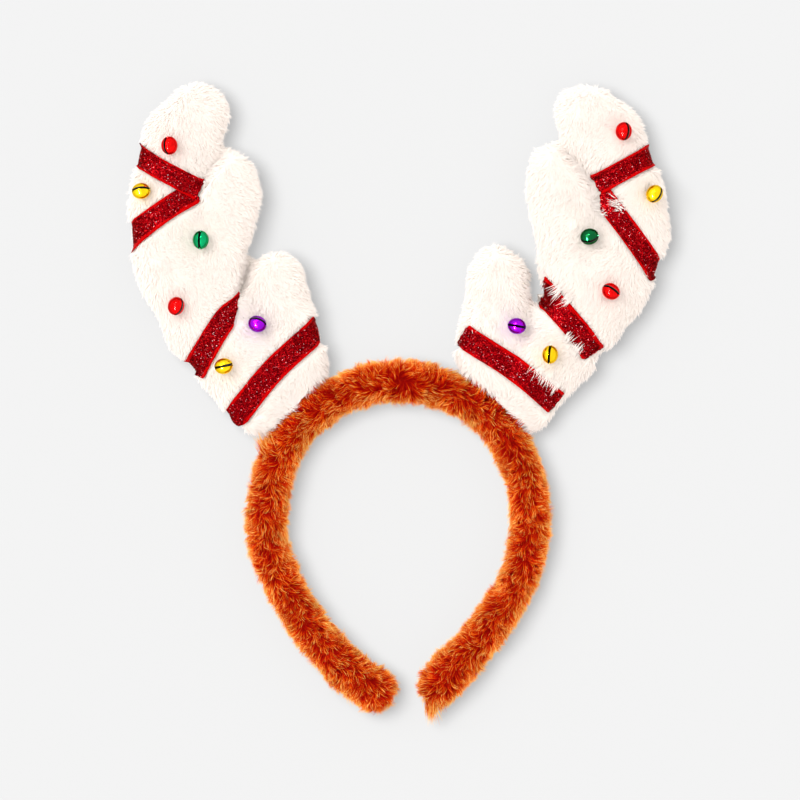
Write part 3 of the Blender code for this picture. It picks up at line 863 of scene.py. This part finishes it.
def add_tufts(place, surface, kind, strands, normals, shade, chance):
    """Put the tufts of one body with its other hairs."""
    for on, roots, towards, rise, spread, hairs, least in TUFTS:
        if on != place:
            continue
        count = int(hairs * MADE_SHARE)
        foot = at_pixel(*roots)
        aim = np.array(at_pixel(*towards) - foot)
        at = np.array(foot) + chance.normal(0, spread * MM / 2, (count, 2))
        found = [drop_on(surface, spot) for spot in at]
        found = [spot for spot in found if spot is not None]
        count = len(found)
        ways = aim + chance.normal(0, TUFT_STRAY * np.linalg.norm(aim), (count, 2))
        share = np.linspace(0, 1, kind["segments"] + 1)[None, :, None]
        share = share * chance.uniform(*TUFT_LENGTHS, (count, 1, 1))
        hair = np.array(found)[:, None, :] + np.zeros_like(share)
        hair[..., :2] += ways[:, None, :] * share
        hair[..., 2:] += rise * MM * np.sin(share * TUFT_BEND) - share * TUFT_DROP - TUFT_ROOT
        forward = TUFT_FORWARD[rise >= TUFT_LYING]
        # The tilt is also the normal that sets how much painted rim light the tuft's hairs get
        tilt = unit(np.array([*aim * forward / np.linalg.norm(aim), TUFT_UP]))
        strands = np.concatenate([strands, hair])
        normals = np.concatenate([normals, np.tile(tilt, (count, 1))])
        shade = np.concatenate([shade, chance.uniform(least, 1, (count, 1))])
    return strands, normals, shade


# Hoop

# The combing turns from one side to the other over this distance from the middle. Near the ends
# it splays outwards: where that starts, over what length, and how much, as shares of the radius
PARTING = 24 * MM
SPLAY_START = 0.55
SPLAY_LENGTH = 0.6
SPLAY = 0.75

# The least that the combing goes along the hoop, at the parting
LEAST_ALONG = 0.1

# From this far past the middle an antler may lie over the hoop. It shortens the hairs if it is
# nearer to their roots than the fur's depth and this much more. Hairs that are left with a smaller
# share of their length than the last value are left out
COVERED = 20 * MM
HEAD_REACH = 2 * MM
LEAST_ROOM = 0.1

# How many meshes the hoop's fur is made of
HOOP_PIECES = 3


def tangent(vectors, normals):
    """The part of vectors that lies along the surface."""
    return vectors - normals * dot(vectors, normals)


def comb_over(flat, normals, kind):
    """Some tangents, bent down over the sides."""
    along, down = kind["comb"]
    up = np.array([0.0, 0.0, 1.0])
    return unit(flat * along - tangent(up, normals) * down)


def hoop_along(points):
    """The direction along the hoop towards its nearer end, at some points."""
    away = points[:, :2] - np.array(CENTRE)
    side = np.clip(away[:, 0] / PARTING, -1, 1)
    round_it = np.stack([away[:, 1] * side, -away[:, 0] * side, np.zeros(len(away))], axis=1)
    outward = np.concatenate([away, np.zeros((len(away), 1))], axis=1)
    low = np.clip((-away[:, 1] / HOOP_RADIUS - SPLAY_START) / SPLAY_LENGTH, 0, 1)[:, None]
    way = unit(unit(round_it) + unit(outward) * SPLAY * low)
    return way * np.minimum(np.abs(side) + LEAST_ALONG, 1)[:, None]


def brown_comb(points, normals):
    """Towards the hoop's ends, and down over its sides."""
    return comb_over(tangent(hoop_along(points), normals), normals, BROWN)


def make_hoop(antlers, materials, chance):
    """The furred hoop."""
    surface = soft_surface("headband", SMOOTHINGS["hoop"])
    roots = sink(surface, BROWN["inset"])
    make_skin("hoop_skin", roots, materials["brown_skin"], "headband")
    places, normals, density = plant(roots, BROWN, chance)
    room = np.array([headroom(place, normal, antlers) for place, normal in zip(places, normals)])
    keep = room > LEAST_ROOM
    places, normals = places[keep], normals[keep]
    stretch = room[keep][:, None]
    strands, shade = comb_strands(places, normals, brown_comb, BROWN, chance, stretch, density)
    strands, normals, shade = add_tufts("hoop", surface, BROWN, strands, normals, shade, chance)
    finish = (materials["brown"], "headband", "fur_brown")
    add_fur("hoop_fur", strands, normals, shade, BROWN, finish, HOOP_PIECES, chance)


def headroom(place, normal, antlers):
    """How long a hair on the hoop can be under an antler that lies over it, as a share."""
    if place[1] < CENTRE.y + COVERED:
        return 1.0
    reach = BROWN["inset"] + HEAD_REACH
    hits = [antler.tree.ray_cast(Vector(place), Vector(normal), reach)[3] for antler in antlers]
    return min([1.0] + [(hit - GAP) / reach for hit in hits if hit is not None])


# Antlers

# How deep a ribbon presses into the plush, how much more on its sides, over what width and how far
# from its edge. How high the plush swells beside it, how far away, how widely and how far past its
# ends, and over what height below the seam both fade
CINCH_DEPTH = 0.9 * MM
CINCH_SIDE = 2.0
CINCH_EDGE = 1.6 * MM
CINCH_INSET = 0.3 * MM
CINCH_SWELL = 0.4 * MM
SWELL_PLACE = 4 * MM
SWELL_SPREAD = 2.5 * MM
SWELL_END = 2 * MM
WRAP_FADE = 4 * MM

# Under a ribbon hairs grow only this near its edge, and have this share of their length. This
# share of the others stray over its edge
UNDER_MARGIN = 2.5 * MM
UNDER_HAIR = 0.7
STRAYS = 0.08

# Hairs keep this far from a ribbon's edge and from a bell
RIBBON_CLEARANCE = 0.1 * MM
BELL_CLEARANCE = 0.15 * MM

# The hairs of the antler's foot reach over the brown fur. They are longer by this share, out to
# this distance from the middle of the hoop, and less so over the next one
FOOT_HAIR = 0.35
FOOT_REACH = 75 * MM
FOOT_FADE = 9 * MM

# Points along the middle line of a strip
LINE_POINTS = 61


def white_comb(side):
    """Towards the antler's seat, and down over its sides."""
    foot = np.array([*seat(side), 0])

    def comb(points, normals):
        down = foot - points
        down[:, 2] = 0
        return comb_over(unit(tangent(unit(down), normals)), normals, WHITE)

    return comb


class Strip:
    """A ribbon's middle line and half width, as seen from the front."""

    def __init__(self, side, points, width, slants):
        start = np.array(seat(side))
        self.slants = [slant * MM for slant in slants]
        self.half = width * RIBBON_WIDTH / 2
        fine = np.linspace(0, len(points) - 1, LINE_POINTS)
        self.line = start + np.array([curve_point(points, t) for t in fine]) * ANTLER_HEIGHT
        self.ahead = unit(np.gradient(self.line, axis=0))
        self.side = np.stack([-self.ahead[:, 1], self.ahead[:, 0]], axis=1)

    def measure(self, points):
        """The distance across the strip from its middle line, how far past its ends, and the
        direction across it."""
        flat = points[:, :2]
        nearest = np.argmin(((flat[:, None, :] - self.line[None, ::2, :]) ** 2).sum(2), axis=1) * 2
        offset = flat - self.line[nearest]
        across = (offset * self.side[nearest]).sum(1)
        past_start = -((flat - self.line[0]) * self.ahead[0]).sum(1)
        past_end = ((flat - self.line[-1]) * self.ahead[-1]).sum(1)
        return across, np.maximum(past_start, past_end), self.side[nearest]


def curve_point(rows, position):
    """The point at a position on a Catmull-Rom curve through the rows."""
    last = len(rows) - 1
    first = min(int(position), last - 1)
    part = position - first
    before = rows[max(first - 1, 0)]
    start, end = rows[first], rows[first + 1]
    after = rows[min(first + 2, last)]
    values = []
    for a, b, c, d in zip(before, start, end, after):
        slope_in, slope_out = (c - a) / 2, (d - b) / 2
        bend = 3 * (c - b) - 2 * slope_in - slope_out
        twist = 2 * (b - c) + slope_in + slope_out
        values.append(b + part * (slope_in + part * (bend + part * twist)))
    return values


def cinch(surface, strips):
    """Press the ribbons into the plush, and let it swell beside them."""
    deep = np.zeros(len(surface.points))
    for strip in strips:
        across, past, _ = strip.measure(surface.points)
        reach = np.abs(across) - strip.half
        inside = np.clip(1 - (reach + CINCH_INSET) / CINCH_EDGE, 0, 1) * (past < 0)
        beside = np.exp(-(((reach - SWELL_PLACE) / SWELL_SPREAD) ** 2)) * (past < SWELL_END)
        aside = 1 - np.maximum(surface.normals[:, 2], 0)
        deep = np.maximum(deep, inside * CINCH_DEPTH * (1 + CINCH_SIDE * aside))
        deep -= np.where(deep > 0, 0, beside * CINCH_SWELL)
    wrapped = np.clip((surface.points[:, 2] - SEAM) / WRAP_FADE + 1, 0, 1)
    surface.points -= surface.normals * (deep * wrapped)[:, None]
    surface.points[:, 2] = np.maximum(surface.points[:, 2], 0)
    surface.refresh()


def clear_ribbons(strands, strips, chance):
    """Move hair points sideways off the ribbons, apart from the hairs that grow under one and a
    few that stray over its edge."""
    count, levels = strands.shape[:2]
    strays = (chance.random(count) < STRAYS) | under_ribbon(strands[:, 0], strips, 0)
    flat = strands.reshape(-1, 3)
    for strip in strips:
        across, past, side = strip.measure(flat)
        depth = strip.half + RIBBON_CLEARANCE - np.abs(across)
        hit = (depth > 0) & (past < 0) & (flat[:, 2] > SEAM) & ~np.repeat(strays, levels)
        push = np.sign(across) * depth
        flat[hit, :2] += (side * push[:, None])[hit]
    return flat.reshape(count, levels, 3)


def clear_balls(strands, centres):
    """Move hair points out of the bells."""
    reach = BELL_RADIUS + BELL_CLEARANCE
    for centre in centres:
        away = strands - np.array(centre)
        far = np.linalg.norm(away, axis=-1, keepdims=True)
        outside = np.array(centre) + away / np.maximum(far, 1e-9) * reach
        strands = np.where(far < reach, outside, strands)
    return strands


def under_ribbon(places, strips, margin):
    """Which places lie under a ribbon, further in than a margin."""
    found = np.zeros(len(places), bool)
    for strip in strips:
        across, past, _ = strip.measure(places)
        found |= (np.abs(across) < strip.half - margin) & (past < -margin) & (places[:, 2] > SEAM + margin)
    return found


# Where the plush is fuller or slimmer than its CAD body: a place on its outline in pixels of the
# photograph, and in millimetres how far the side moves outwards and over what distance
FORM = {
    "left": [
        # x, y, outwards, spread
        (168, 94, -1.6, 12),
        (228, 118, 1.6, 12),
        (247, 151, -2.4, 8),
        (262, 190, 2.2, 10),
        (254, 254, -2.0, 5),
        (155, 318, -3.2, 11),
        (188, 368, -1.4, 8),
        (238, 424, 4.2, 9),
        (321, 332, 1.4, 12),
        (326, 362, 1.8, 6),
    ],
    "right": [
        (560, 92, 2.4, 9),
        (636, 112, 2.8, 10),
        (548, 141, -2.4, 7),
        (656, 165, -1.2, 8),
        (671, 235, 2.2, 8),
        (532, 235, -1.2, 12),
        (627, 331, -2.2, 9),
        (602, 356, -4.0, 6),
        (592, 372, 1.0, 5),
        (547, 423, 1.6, 6),
        (470, 252, -1.6, 8),
        (514, 247, -1.6, 8),
        (531, 272, 1.4, 6),
        (458, 348, 1.2, 8),
    ],
}


# Creases between the tines: their two ends in pixels of the photograph, depth and width in
# millimetres
CREASES = {
    "left": [
        # from, to, depth, width
        ((229, 146), (202, 180), 2.6, 2.4),
        ((254, 250), (241, 290), 7.0, 2.6),
    ],
    "right": [
        ((556, 140), (590, 178), 2.6, 2.4),
        ((531, 268), (543, 300), 3.0, 2.4),
    ],
}


def press_creases(surface, rows):
    """Press the creases into the front of the plush."""
    flat = surface.points[:, :2]
    deep = np.zeros(len(flat))
    for first, last, depth, width in rows:
        start, end = np.array(at_pixel(*first)), np.array(at_pixel(*last))
        share = np.clip(((flat - start) @ (end - start)) / ((end - start) ** 2).sum(), 0, 1)
        away = flat - start - share[:, None] * (end - start)
        deep = np.maximum(deep, depth * MM * np.exp(-((away**2).sum(1) / (width * MM) ** 2)))
    surface.points[:, 2] -= deep * (surface.points[:, 2] > SEAM)
    surface.refresh()


def fill_out(surface, rows):
    """Move the sides of a body outwards or inwards around some places."""
    flat = surface.normals[:, :2]
    for x, y, outwards, spread in rows:
        away = surface.points[:, :2] - np.array(at_pixel(x, y))
        near = np.exp(-((away**2).sum(1) / (spread * MM) ** 2))
        surface.points[:, :2] += flat * (near * outwards * MM)[:, None]
    surface.refresh()


def make_antler(side):
    """The soft body of one antler, with its ribbons pressed into it, and the ribbons' strips."""
    surface = soft_surface(f"antler_{side}", SMOOTHINGS["antler"])
    fill_out(surface, FORM[side])
    press_creases(surface, CREASES[side])
    strips = [Strip(side, row[1], row[2], row[4:]) for row in RIBBONS[side]]
    cinch(surface, strips)
    return surface, strips


def cover_antler(side, surface, strips, centres, materials, chance):
    """The plush on one antler."""
    name = f"antler_{side}"
    roots = sink(surface, WHITE["inset"])
    make_skin(f"{name}_skin", roots, materials["white_skin"], name)
    places, normals, density = plant(roots, WHITE, chance)
    keep = ~under_ribbon(places, strips, UNDER_MARGIN)
    places, normals = places[keep], normals[keep]
    from_middle = np.linalg.norm(places[:, :2] - np.array(CENTRE), axis=1)
    stretch = 1 + FOOT_HAIR * np.clip(1 - (from_middle - FOOT_REACH) / FOOT_FADE, 0, 1)
    stretch = np.where(under_ribbon(places, strips, 0), UNDER_HAIR, stretch)[:, None]
    strands, shade = comb_strands(places, normals, white_comb(side), WHITE, chance, stretch, density)
    strands = clear_ribbons(strands, strips, chance)
    strands = clear_balls(strands, centres)
    strands, normals, shade = add_tufts(side, surface, WHITE, strands, normals, shade, chance)
    finish = (materials["white"], name, "plush_white")
    add_fur(f"{name}_fur", strands, normals, shade, WHITE, finish, 1, chance)


# Ribbons

ROW_SPACING = 0.65 * MM
RIBBON_THICKNESS = 0.45 * MM

# Ends: how much the corners are rounded, how ragged the end is and how fine its waves are, and how
# much higher the corners end when a ribbon goes down to the seam
CORNER_ROUND = 1.4 * MM
CORNER_WAVE = 0.4 * MM
CORNER_PITCH = 400
CORNER_LIFT = 7 * MM

# Rows: the most steps of one, the error that would turn it back by half a right angle, the most
# that it turns back, and the rounds and strength of the smoothing
STEPS = 400
STEER_ERROR = 2 * MM
STEER = 0.5
GRID_ROUNDS = 6
GRID_SMOOTHING = 0.6

# Form: how much higher a ribbon lies over another, how high and how fine its waves are, its raised
# rim's place, width and height, and which of its edges has the wider plain stripe
LAYER_STEP = 0.55 * MM
RIBBON_WAVE = 0.22 * MM
WAVE_PITCH = 160
RIM_PLACE = 0.93
RIM_WIDTH = 0.09
RIM_HEIGHT = 0.16 * MM
WIDE_EDGE = {"left": 0, "right": 1}

# Glitter flakes: how many, how far they tilt, and in millimetres how high they sit and their size
FLAKES_PER_AREA = 4.2 / MM**2
FLAKE_TILT = 0.33
FLAKE_LIFTS = (0.02, 0.14)
FLAKE_SIZES = (0.13, 0.30)


def walk(surface, start, strip, aim, sign):
    """Points over a surface along a strip, from a start towards one of its ends, and down over
    the side as far as the seam. The aim is the distance that it keeps from the middle line."""
    points = [start]
    heading = None
    end = -1 if sign > 0 else 0
    share = aim / strip.half
    reach = strip.slants[end] * share - CORNER_ROUND * share**4
    reach += CORNER_WAVE * noise.noise(start * CORNER_PITCH)
    for _ in range(STEPS):
        here = points[-1]
        normal = surface.tree.find_nearest(here)[1]
        flat = np.array(here.xy)
        nearest = int(np.argmin(((strip.line - flat) ** 2).sum(1)))
        ahead, side = strip.ahead[nearest] * sign, strip.side[nearest]
        error = aim - float((flat - strip.line[nearest]) @ side)
        pulled = ahead + side * np.clip(error / STEER_ERROR, -STEER, STEER)
        want = Vector((*pulled, 0))
        want -= normal * want.dot(normal)
        if heading is not None:
            front = max(0.0, normal.z)
            steady = heading - normal * heading.dot(normal)
            want = want * front + steady.normalized() * (1 - front)
        heading = want.normalized()
        there = surface.tree.find_nearest(here + heading * ROW_SPACING)[0]
        past = float((np.array(there.xy) - strip.line[end]) @ strip.ahead[end]) * sign
        if past > reach or there.z < SEAM + CORNER_LIFT * share**4:
            break
        points.append(there)
    return points


def resample(points, count):
    """Points spaced evenly along a row."""
    points = np.array(points)
    run = np.concatenate([[0], np.cumsum(np.linalg.norm(np.diff(points, axis=0), axis=1))])
    goals = np.linspace(0, run[-1], count)
    return np.stack([np.interp(goals, run, points[:, i]) for i in range(3)], axis=1)


def ribbon_grid(surface, strip):
    """A grid of points over the plush, across and along a strip, with its normals."""
    heights = [drop_on(surface, place) for place in strip.line]
    middle = max(range(len(heights)), key=lambda i: -1 if heights[i] is None else heights[i].z)
    rows = []
    for share in np.linspace(-1, 1, round(2 * strip.half / ROW_SPACING) + 1):
        aim = share * strip.half
        place = strip.line[middle] + strip.side[middle] * aim
        start = drop_on(surface, place)
        back = walk(surface, start, strip, aim, -1)
        ahead = walk(surface, start, strip, aim, 1)
        rows.append(back[::-1] + ahead[1:])
    count = max(len(row) for row in rows)
    grid = np.stack([resample(row, count) for row in rows])
    edges = grid[::len(grid) - 1]
    for _ in range(GRID_ROUNDS):
        inner = (grid[:-2, 1:-1] + grid[2:, 1:-1] + grid[1:-1, :-2] + grid[1:-1, 2:]) / 4
        grid[1:-1, 1:-1] += (inner - grid[1:-1, 1:-1]) * GRID_SMOOTHING
        between = (edges[:, :-2] + edges[:, 2:]) / 2
        edges[:, 1:-1] += (between - edges[:, 1:-1]) * GRID_SMOOTHING
    normals = unit(np.cross(np.gradient(grid, axis=1), np.gradient(grid, axis=0)))
    outward = np.array([[surface.tree.find_nearest(Vector(p))[1] for p in row[::8]] for row in grid[::8]])
    if (outward * normals[::8, ::8]).sum() < 0:
        normals = -normals
    return grid, normals


def sheet_mesh(name, high, low):
    """A closed mesh between two grids of points, its faces outwards."""
    number = np.arange(high[..., 0].size).reshape(high.shape[:2])
    top = np.stack([number[:-1, :-1], number[:-1, 1:], number[1:, 1:], number[1:, :-1]], axis=-1)
    top = top.reshape(-1, 4)
    under = top[:, ::-1] + number.size
    rim = np.concatenate([number[0, :-1], number[:-1, -1], number[-1, :0:-1], number[:0:-1, 0]])
    following = np.roll(rim, -1)
    sides = np.stack([following, rim, rim + number.size, following + number.size], axis=1)
    points = np.concatenate([high.reshape(-1, 3), low.reshape(-1, 3)])
    mesh = bpy.data.meshes.new(name)
    mesh.from_pydata(points.tolist(), [], np.concatenate([top, under, sides]).tolist())
    bm = bmesh.new()
    bm.from_mesh(mesh)
    bmesh.ops.recalc_face_normals(bm, faces=bm.faces)
    bm.to_mesh(mesh)
    bm.free()
    mesh.polygons.foreach_set("use_smooth", [True] * len(mesh.polygons))
    return mesh


def make_ribbon(side, name, strip, layer, surface, materials, chance):
    """A strip of ribbon with thickness, raised plain edges and a field of glitter flakes."""
    grid, normals = ribbon_grid(surface, strip)
    across, along = grid.shape[:2]
    share = np.abs(np.linspace(-1, 1, across))[:, None]
    wave = np.array([[noise.noise(Vector(p) * WAVE_PITCH) for p in row] for row in grid])
    lift = GAP + layer * LAYER_STEP + wave * RIBBON_WAVE * share
    lift += np.exp(-(((share - RIM_PLACE) / RIM_WIDTH) ** 2)) * RIM_HEIGHT
    low = grid + normals * lift[..., None]
    high = low + normals * RIBBON_THICKNESS
    name = f"{side}_ribbon_{name}"
    mesh = sheet_mesh(name, high, low)
    colours = np.ones((2, across, along, 4), np.float32)
    colours[..., 0] = share[None]
    colours[..., 1] = np.linspace(0, 1, along)
    colours[..., 2] = np.abs(1 - WIDE_EDGE[side] - np.linspace(0, 1, across))[:, None]
    set_colours(mesh, "strip", colours)
    ribbon = new_object(name + "_strip", mesh, [materials["ribbon"]])
    flakes = make_flakes(name + "_glitter", high, normals, materials["flake"], chance)
    for piece in (ribbon, flakes):
        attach(piece, "root")
        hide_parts(name)


def make_flakes(name, grid, normals, material, chance):
    """Small tilted flakes over the middle of a ribbon."""
    across, along = grid.shape[:2]
    area = (across * along) * ROW_SPACING**2
    count = int(area * FLAKES_PER_AREA * MADE_SHARE)
    u = (0.5 + chance.uniform(-0.5, 0.5, count) * EDGE_START) * (across - 1.001)
    v = chance.uniform(0, 1, count) * (along - 1.001)
    i, j = u.astype(int), v.astype(int)
    a, b = (u - i)[:, None], (v - j)[:, None]

    def at(values):
        first = values[i, j] * (1 - a) + values[i + 1, j] * a
        second = values[i, j + 1] * (1 - a) + values[i + 1, j + 1] * a
        return first * (1 - b) + second * b

    upwards = unit(at(normals))
    facing = unit(upwards + chance.normal(0, FLAKE_TILT, (count, 3)))
    place = at(grid) + upwards * chance.uniform(*FLAKE_LIFTS, (count, 1)) * MM
    first = unit(np.cross(facing, chance.normal(0, 1, (count, 3))))
    second = np.cross(facing, first)
    size = chance.uniform(*FLAKE_SIZES, (count, 1)) * MM
    long, short = first * size, second * size * 0.8
    corners = [place + long, place + short, place - long, place - short]
    points = np.stack(corners, axis=1).reshape(-1, 3)
    mesh = bpy.data.meshes.new(name)
    mesh.from_pydata(points.tolist(), [], np.arange(count * 4).reshape(-1, 4).tolist())
    colours = np.ones((count, 4, 4), np.float32)
    colours[..., 1] = chance.random((count, 1))
    # A random painted sparkle for each flake, which its material turns into its brightness
    colours[..., 2] = chance.random((count, 1))
    set_colours(mesh, "strip", colours)
    return new_object(name, mesh, [material])


# Bells

SLOT_WIDTH = 1.4 * MM
SLOT_HALF_ANGLE = 68
SLOT_HOLE = 1.8 * MM
BELL_WALL = 0.4 * MM
BELL_SHARP_ANGLE = 40

# A bell's size along its slot, across it and upwards, as shares of a ball's
BELL_STRETCH = (1.03, 0.89, 0.95)

SHANK_DIAMETER = 2.4 * MM
SHANK_LENGTH = 1.4 * MM
SHANK_SINK = 0.1 * MM


def solid(name, add, **settings):
    """An object from one of bmesh's primitives."""
    bm = bmesh.new()
    add(bm, **settings)
    mesh = bpy.data.meshes.new(name)
    bm.to_mesh(mesh)
    bm.free()
    return new_object(name, mesh, [])


def cut(obj, cutter, operation):
    modify(obj, "BOOLEAN", object=cutter, operation=operation, solver="EXACT")
    apply_modifiers(obj)
    bpy.data.objects.remove(cutter)


def bell_shape():
    """A thin ball with a slot that ends in round holes, its slot up and along X. Its inside takes
    the second material, a painted shade."""
    sphere = bmesh.ops.create_uvsphere
    bell = solid("bell", sphere, u_segments=48, v_segments=32, radius=BELL_RADIUS)
    low = BELL_RADIUS * math.cos(math.radians(SLOT_HALF_ANGLE))
    reach = BELL_RADIUS * math.sin(math.radians(SLOT_HALF_ANGLE))
    high = 2 * BELL_RADIUS
    size = Matrix.Diagonal((2 * reach, SLOT_WIDTH, high - low, 1))
    middle = Matrix.Translation((0, 0, (low + high) / 2))
    slot = solid("slot", bmesh.ops.create_cube, size=1, matrix=middle @ size)
    for sign in (-1, 1):
        tilt = Matrix.Rotation(sign * math.radians(SLOT_HALF_ANGLE), 4, "Y")
        drill = solid(
            "drill", bmesh.ops.create_cone, cap_ends=True, segments=20, radius1=SLOT_HOLE / 2,
            radius2=SLOT_HOLE / 2, depth=2 * BELL_RADIUS,
            matrix=tilt @ Matrix.Translation((0, 0, 1.6 * BELL_RADIUS)),
        )
        cut(slot, drill, "UNION")
    inside = solid("inside", sphere, u_segments=32, v_segments=20, radius=BELL_RADIUS - BELL_WALL)
    cut(bell, inside, "DIFFERENCE")
    cut(bell, slot, "DIFFERENCE")
    mesh = bell.data
    for polygon in mesh.polygons:
        polygon.material_index = int(polygon.center.length < BELL_RADIUS - BELL_WALL * 0.6)
    bpy.data.objects.remove(bell)
    return mesh


def make_bell(side, row, shape, surface, materials):
    """A jingle bell on the plush, with a plain shank at its back. It gives its centre and its
    pieces."""
    name, colour, across, up, turn, lean = row
    node_name = f"{side}_bell_{name}_{colour}"
    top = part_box(node_name)[1].z
    place = seat(side) + Vector((across, up)) * ANTLER_HEIGHT
    centre = Vector((*place, top - BELL_RADIUS))
    mesh = shape.copy()
    roll = Matrix.Rotation(math.radians(turn), 4, "Z") @ Matrix.Rotation(math.radians(-lean), 4, "X")
    mesh.transform(Matrix.Translation(centre) @ roll @ Matrix.Diagonal((*BELL_STRETCH, 1)))
    shade = "dark_green" if colour == "green" and side == "right" else colour
    # The second material is the bell's inside, painted nearly black as shade
    bell = new_object(node_name + "_shell", mesh, [materials[f"bell_{shade}"], materials["bell_inside_painted_shade"]])
    for polygon in mesh.polygons:
        polygon.material_index = shape.polygons[polygon.index].material_index
        polygon.use_smooth = True
    mesh.set_sharp_from_angle(angle=math.radians(BELL_SHARP_ANGLE))
    back = surface.tree.find_nearest(centre)[0] - centre
    reach = BELL_RADIUS + SHANK_LENGTH / 2 - SHANK_SINK
    frame_at = Matrix.Translation(centre + back.normalized() * reach)
    frame_at = frame_at @ Vector((0, 0, 1)).rotation_difference(back).to_matrix().to_4x4()
    shank = solid(
        node_name + "_shank", bmesh.ops.create_cone, cap_ends=True, segments=16,
        radius1=SHANK_DIAMETER / 2, radius2=SHANK_DIAMETER / 2, depth=SHANK_LENGTH, matrix=frame_at,
    )
    shank.data.materials.append(materials[f"bell_{shade}"])
    for piece in (bell, shank):
        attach(piece, "root")
        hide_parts(node_name)
    return centre, [bell, shank]


def make_materials():
    made = {
        "brown": fur_material("brown_fur", FUR_LOOKS["brown"]),
        "white": fur_material("white_plush", FUR_LOOKS["white"]),
        "brown_skin": skin_material("brown_backing", *SKIN_COLOURS["brown"]),
        "white_skin": skin_material("white_backing", *SKIN_COLOURS["white"]),
        "ribbon": ribbon_material(),
        "flake": flake_material(),
        "bell_inside_painted_shade": painted_inside_shade_material(),
    }
    for colour, (light, dark) in BELL_COLOURS.items():
        made[f"bell_{colour}"] = bell_material(f"bell_{colour}", light, dark)
    return made


def main():
    bpy.context.scene.view_settings.view_transform = "Standard"
    make_camera()
    make_light()
    make_floor()
    chance = np.random.default_rng(SEED)
    materials = make_materials()
    shape = bell_shape()
    antlers = {side: make_antler(side) for side in ("left", "right")}
    bells = []
    for side, (surface, strips) in antlers.items():
        made = [make_bell(side, row, shape, surface, materials) for row in BELLS[side]]
        centres = [centre for centre, _ in made]
        bells += [piece for _, pieces in made for piece in pieces]
        for row, strip in zip(RIBBONS[side], strips):
            make_ribbon(side, row[0], strip, row[3], surface, materials, chance)
        cover_antler(side, surface, strips, centres, materials, chance)
    make_softboxes(bells)
    make_hoop([surface for surface, _ in antlers.values()], materials, chance)


main()
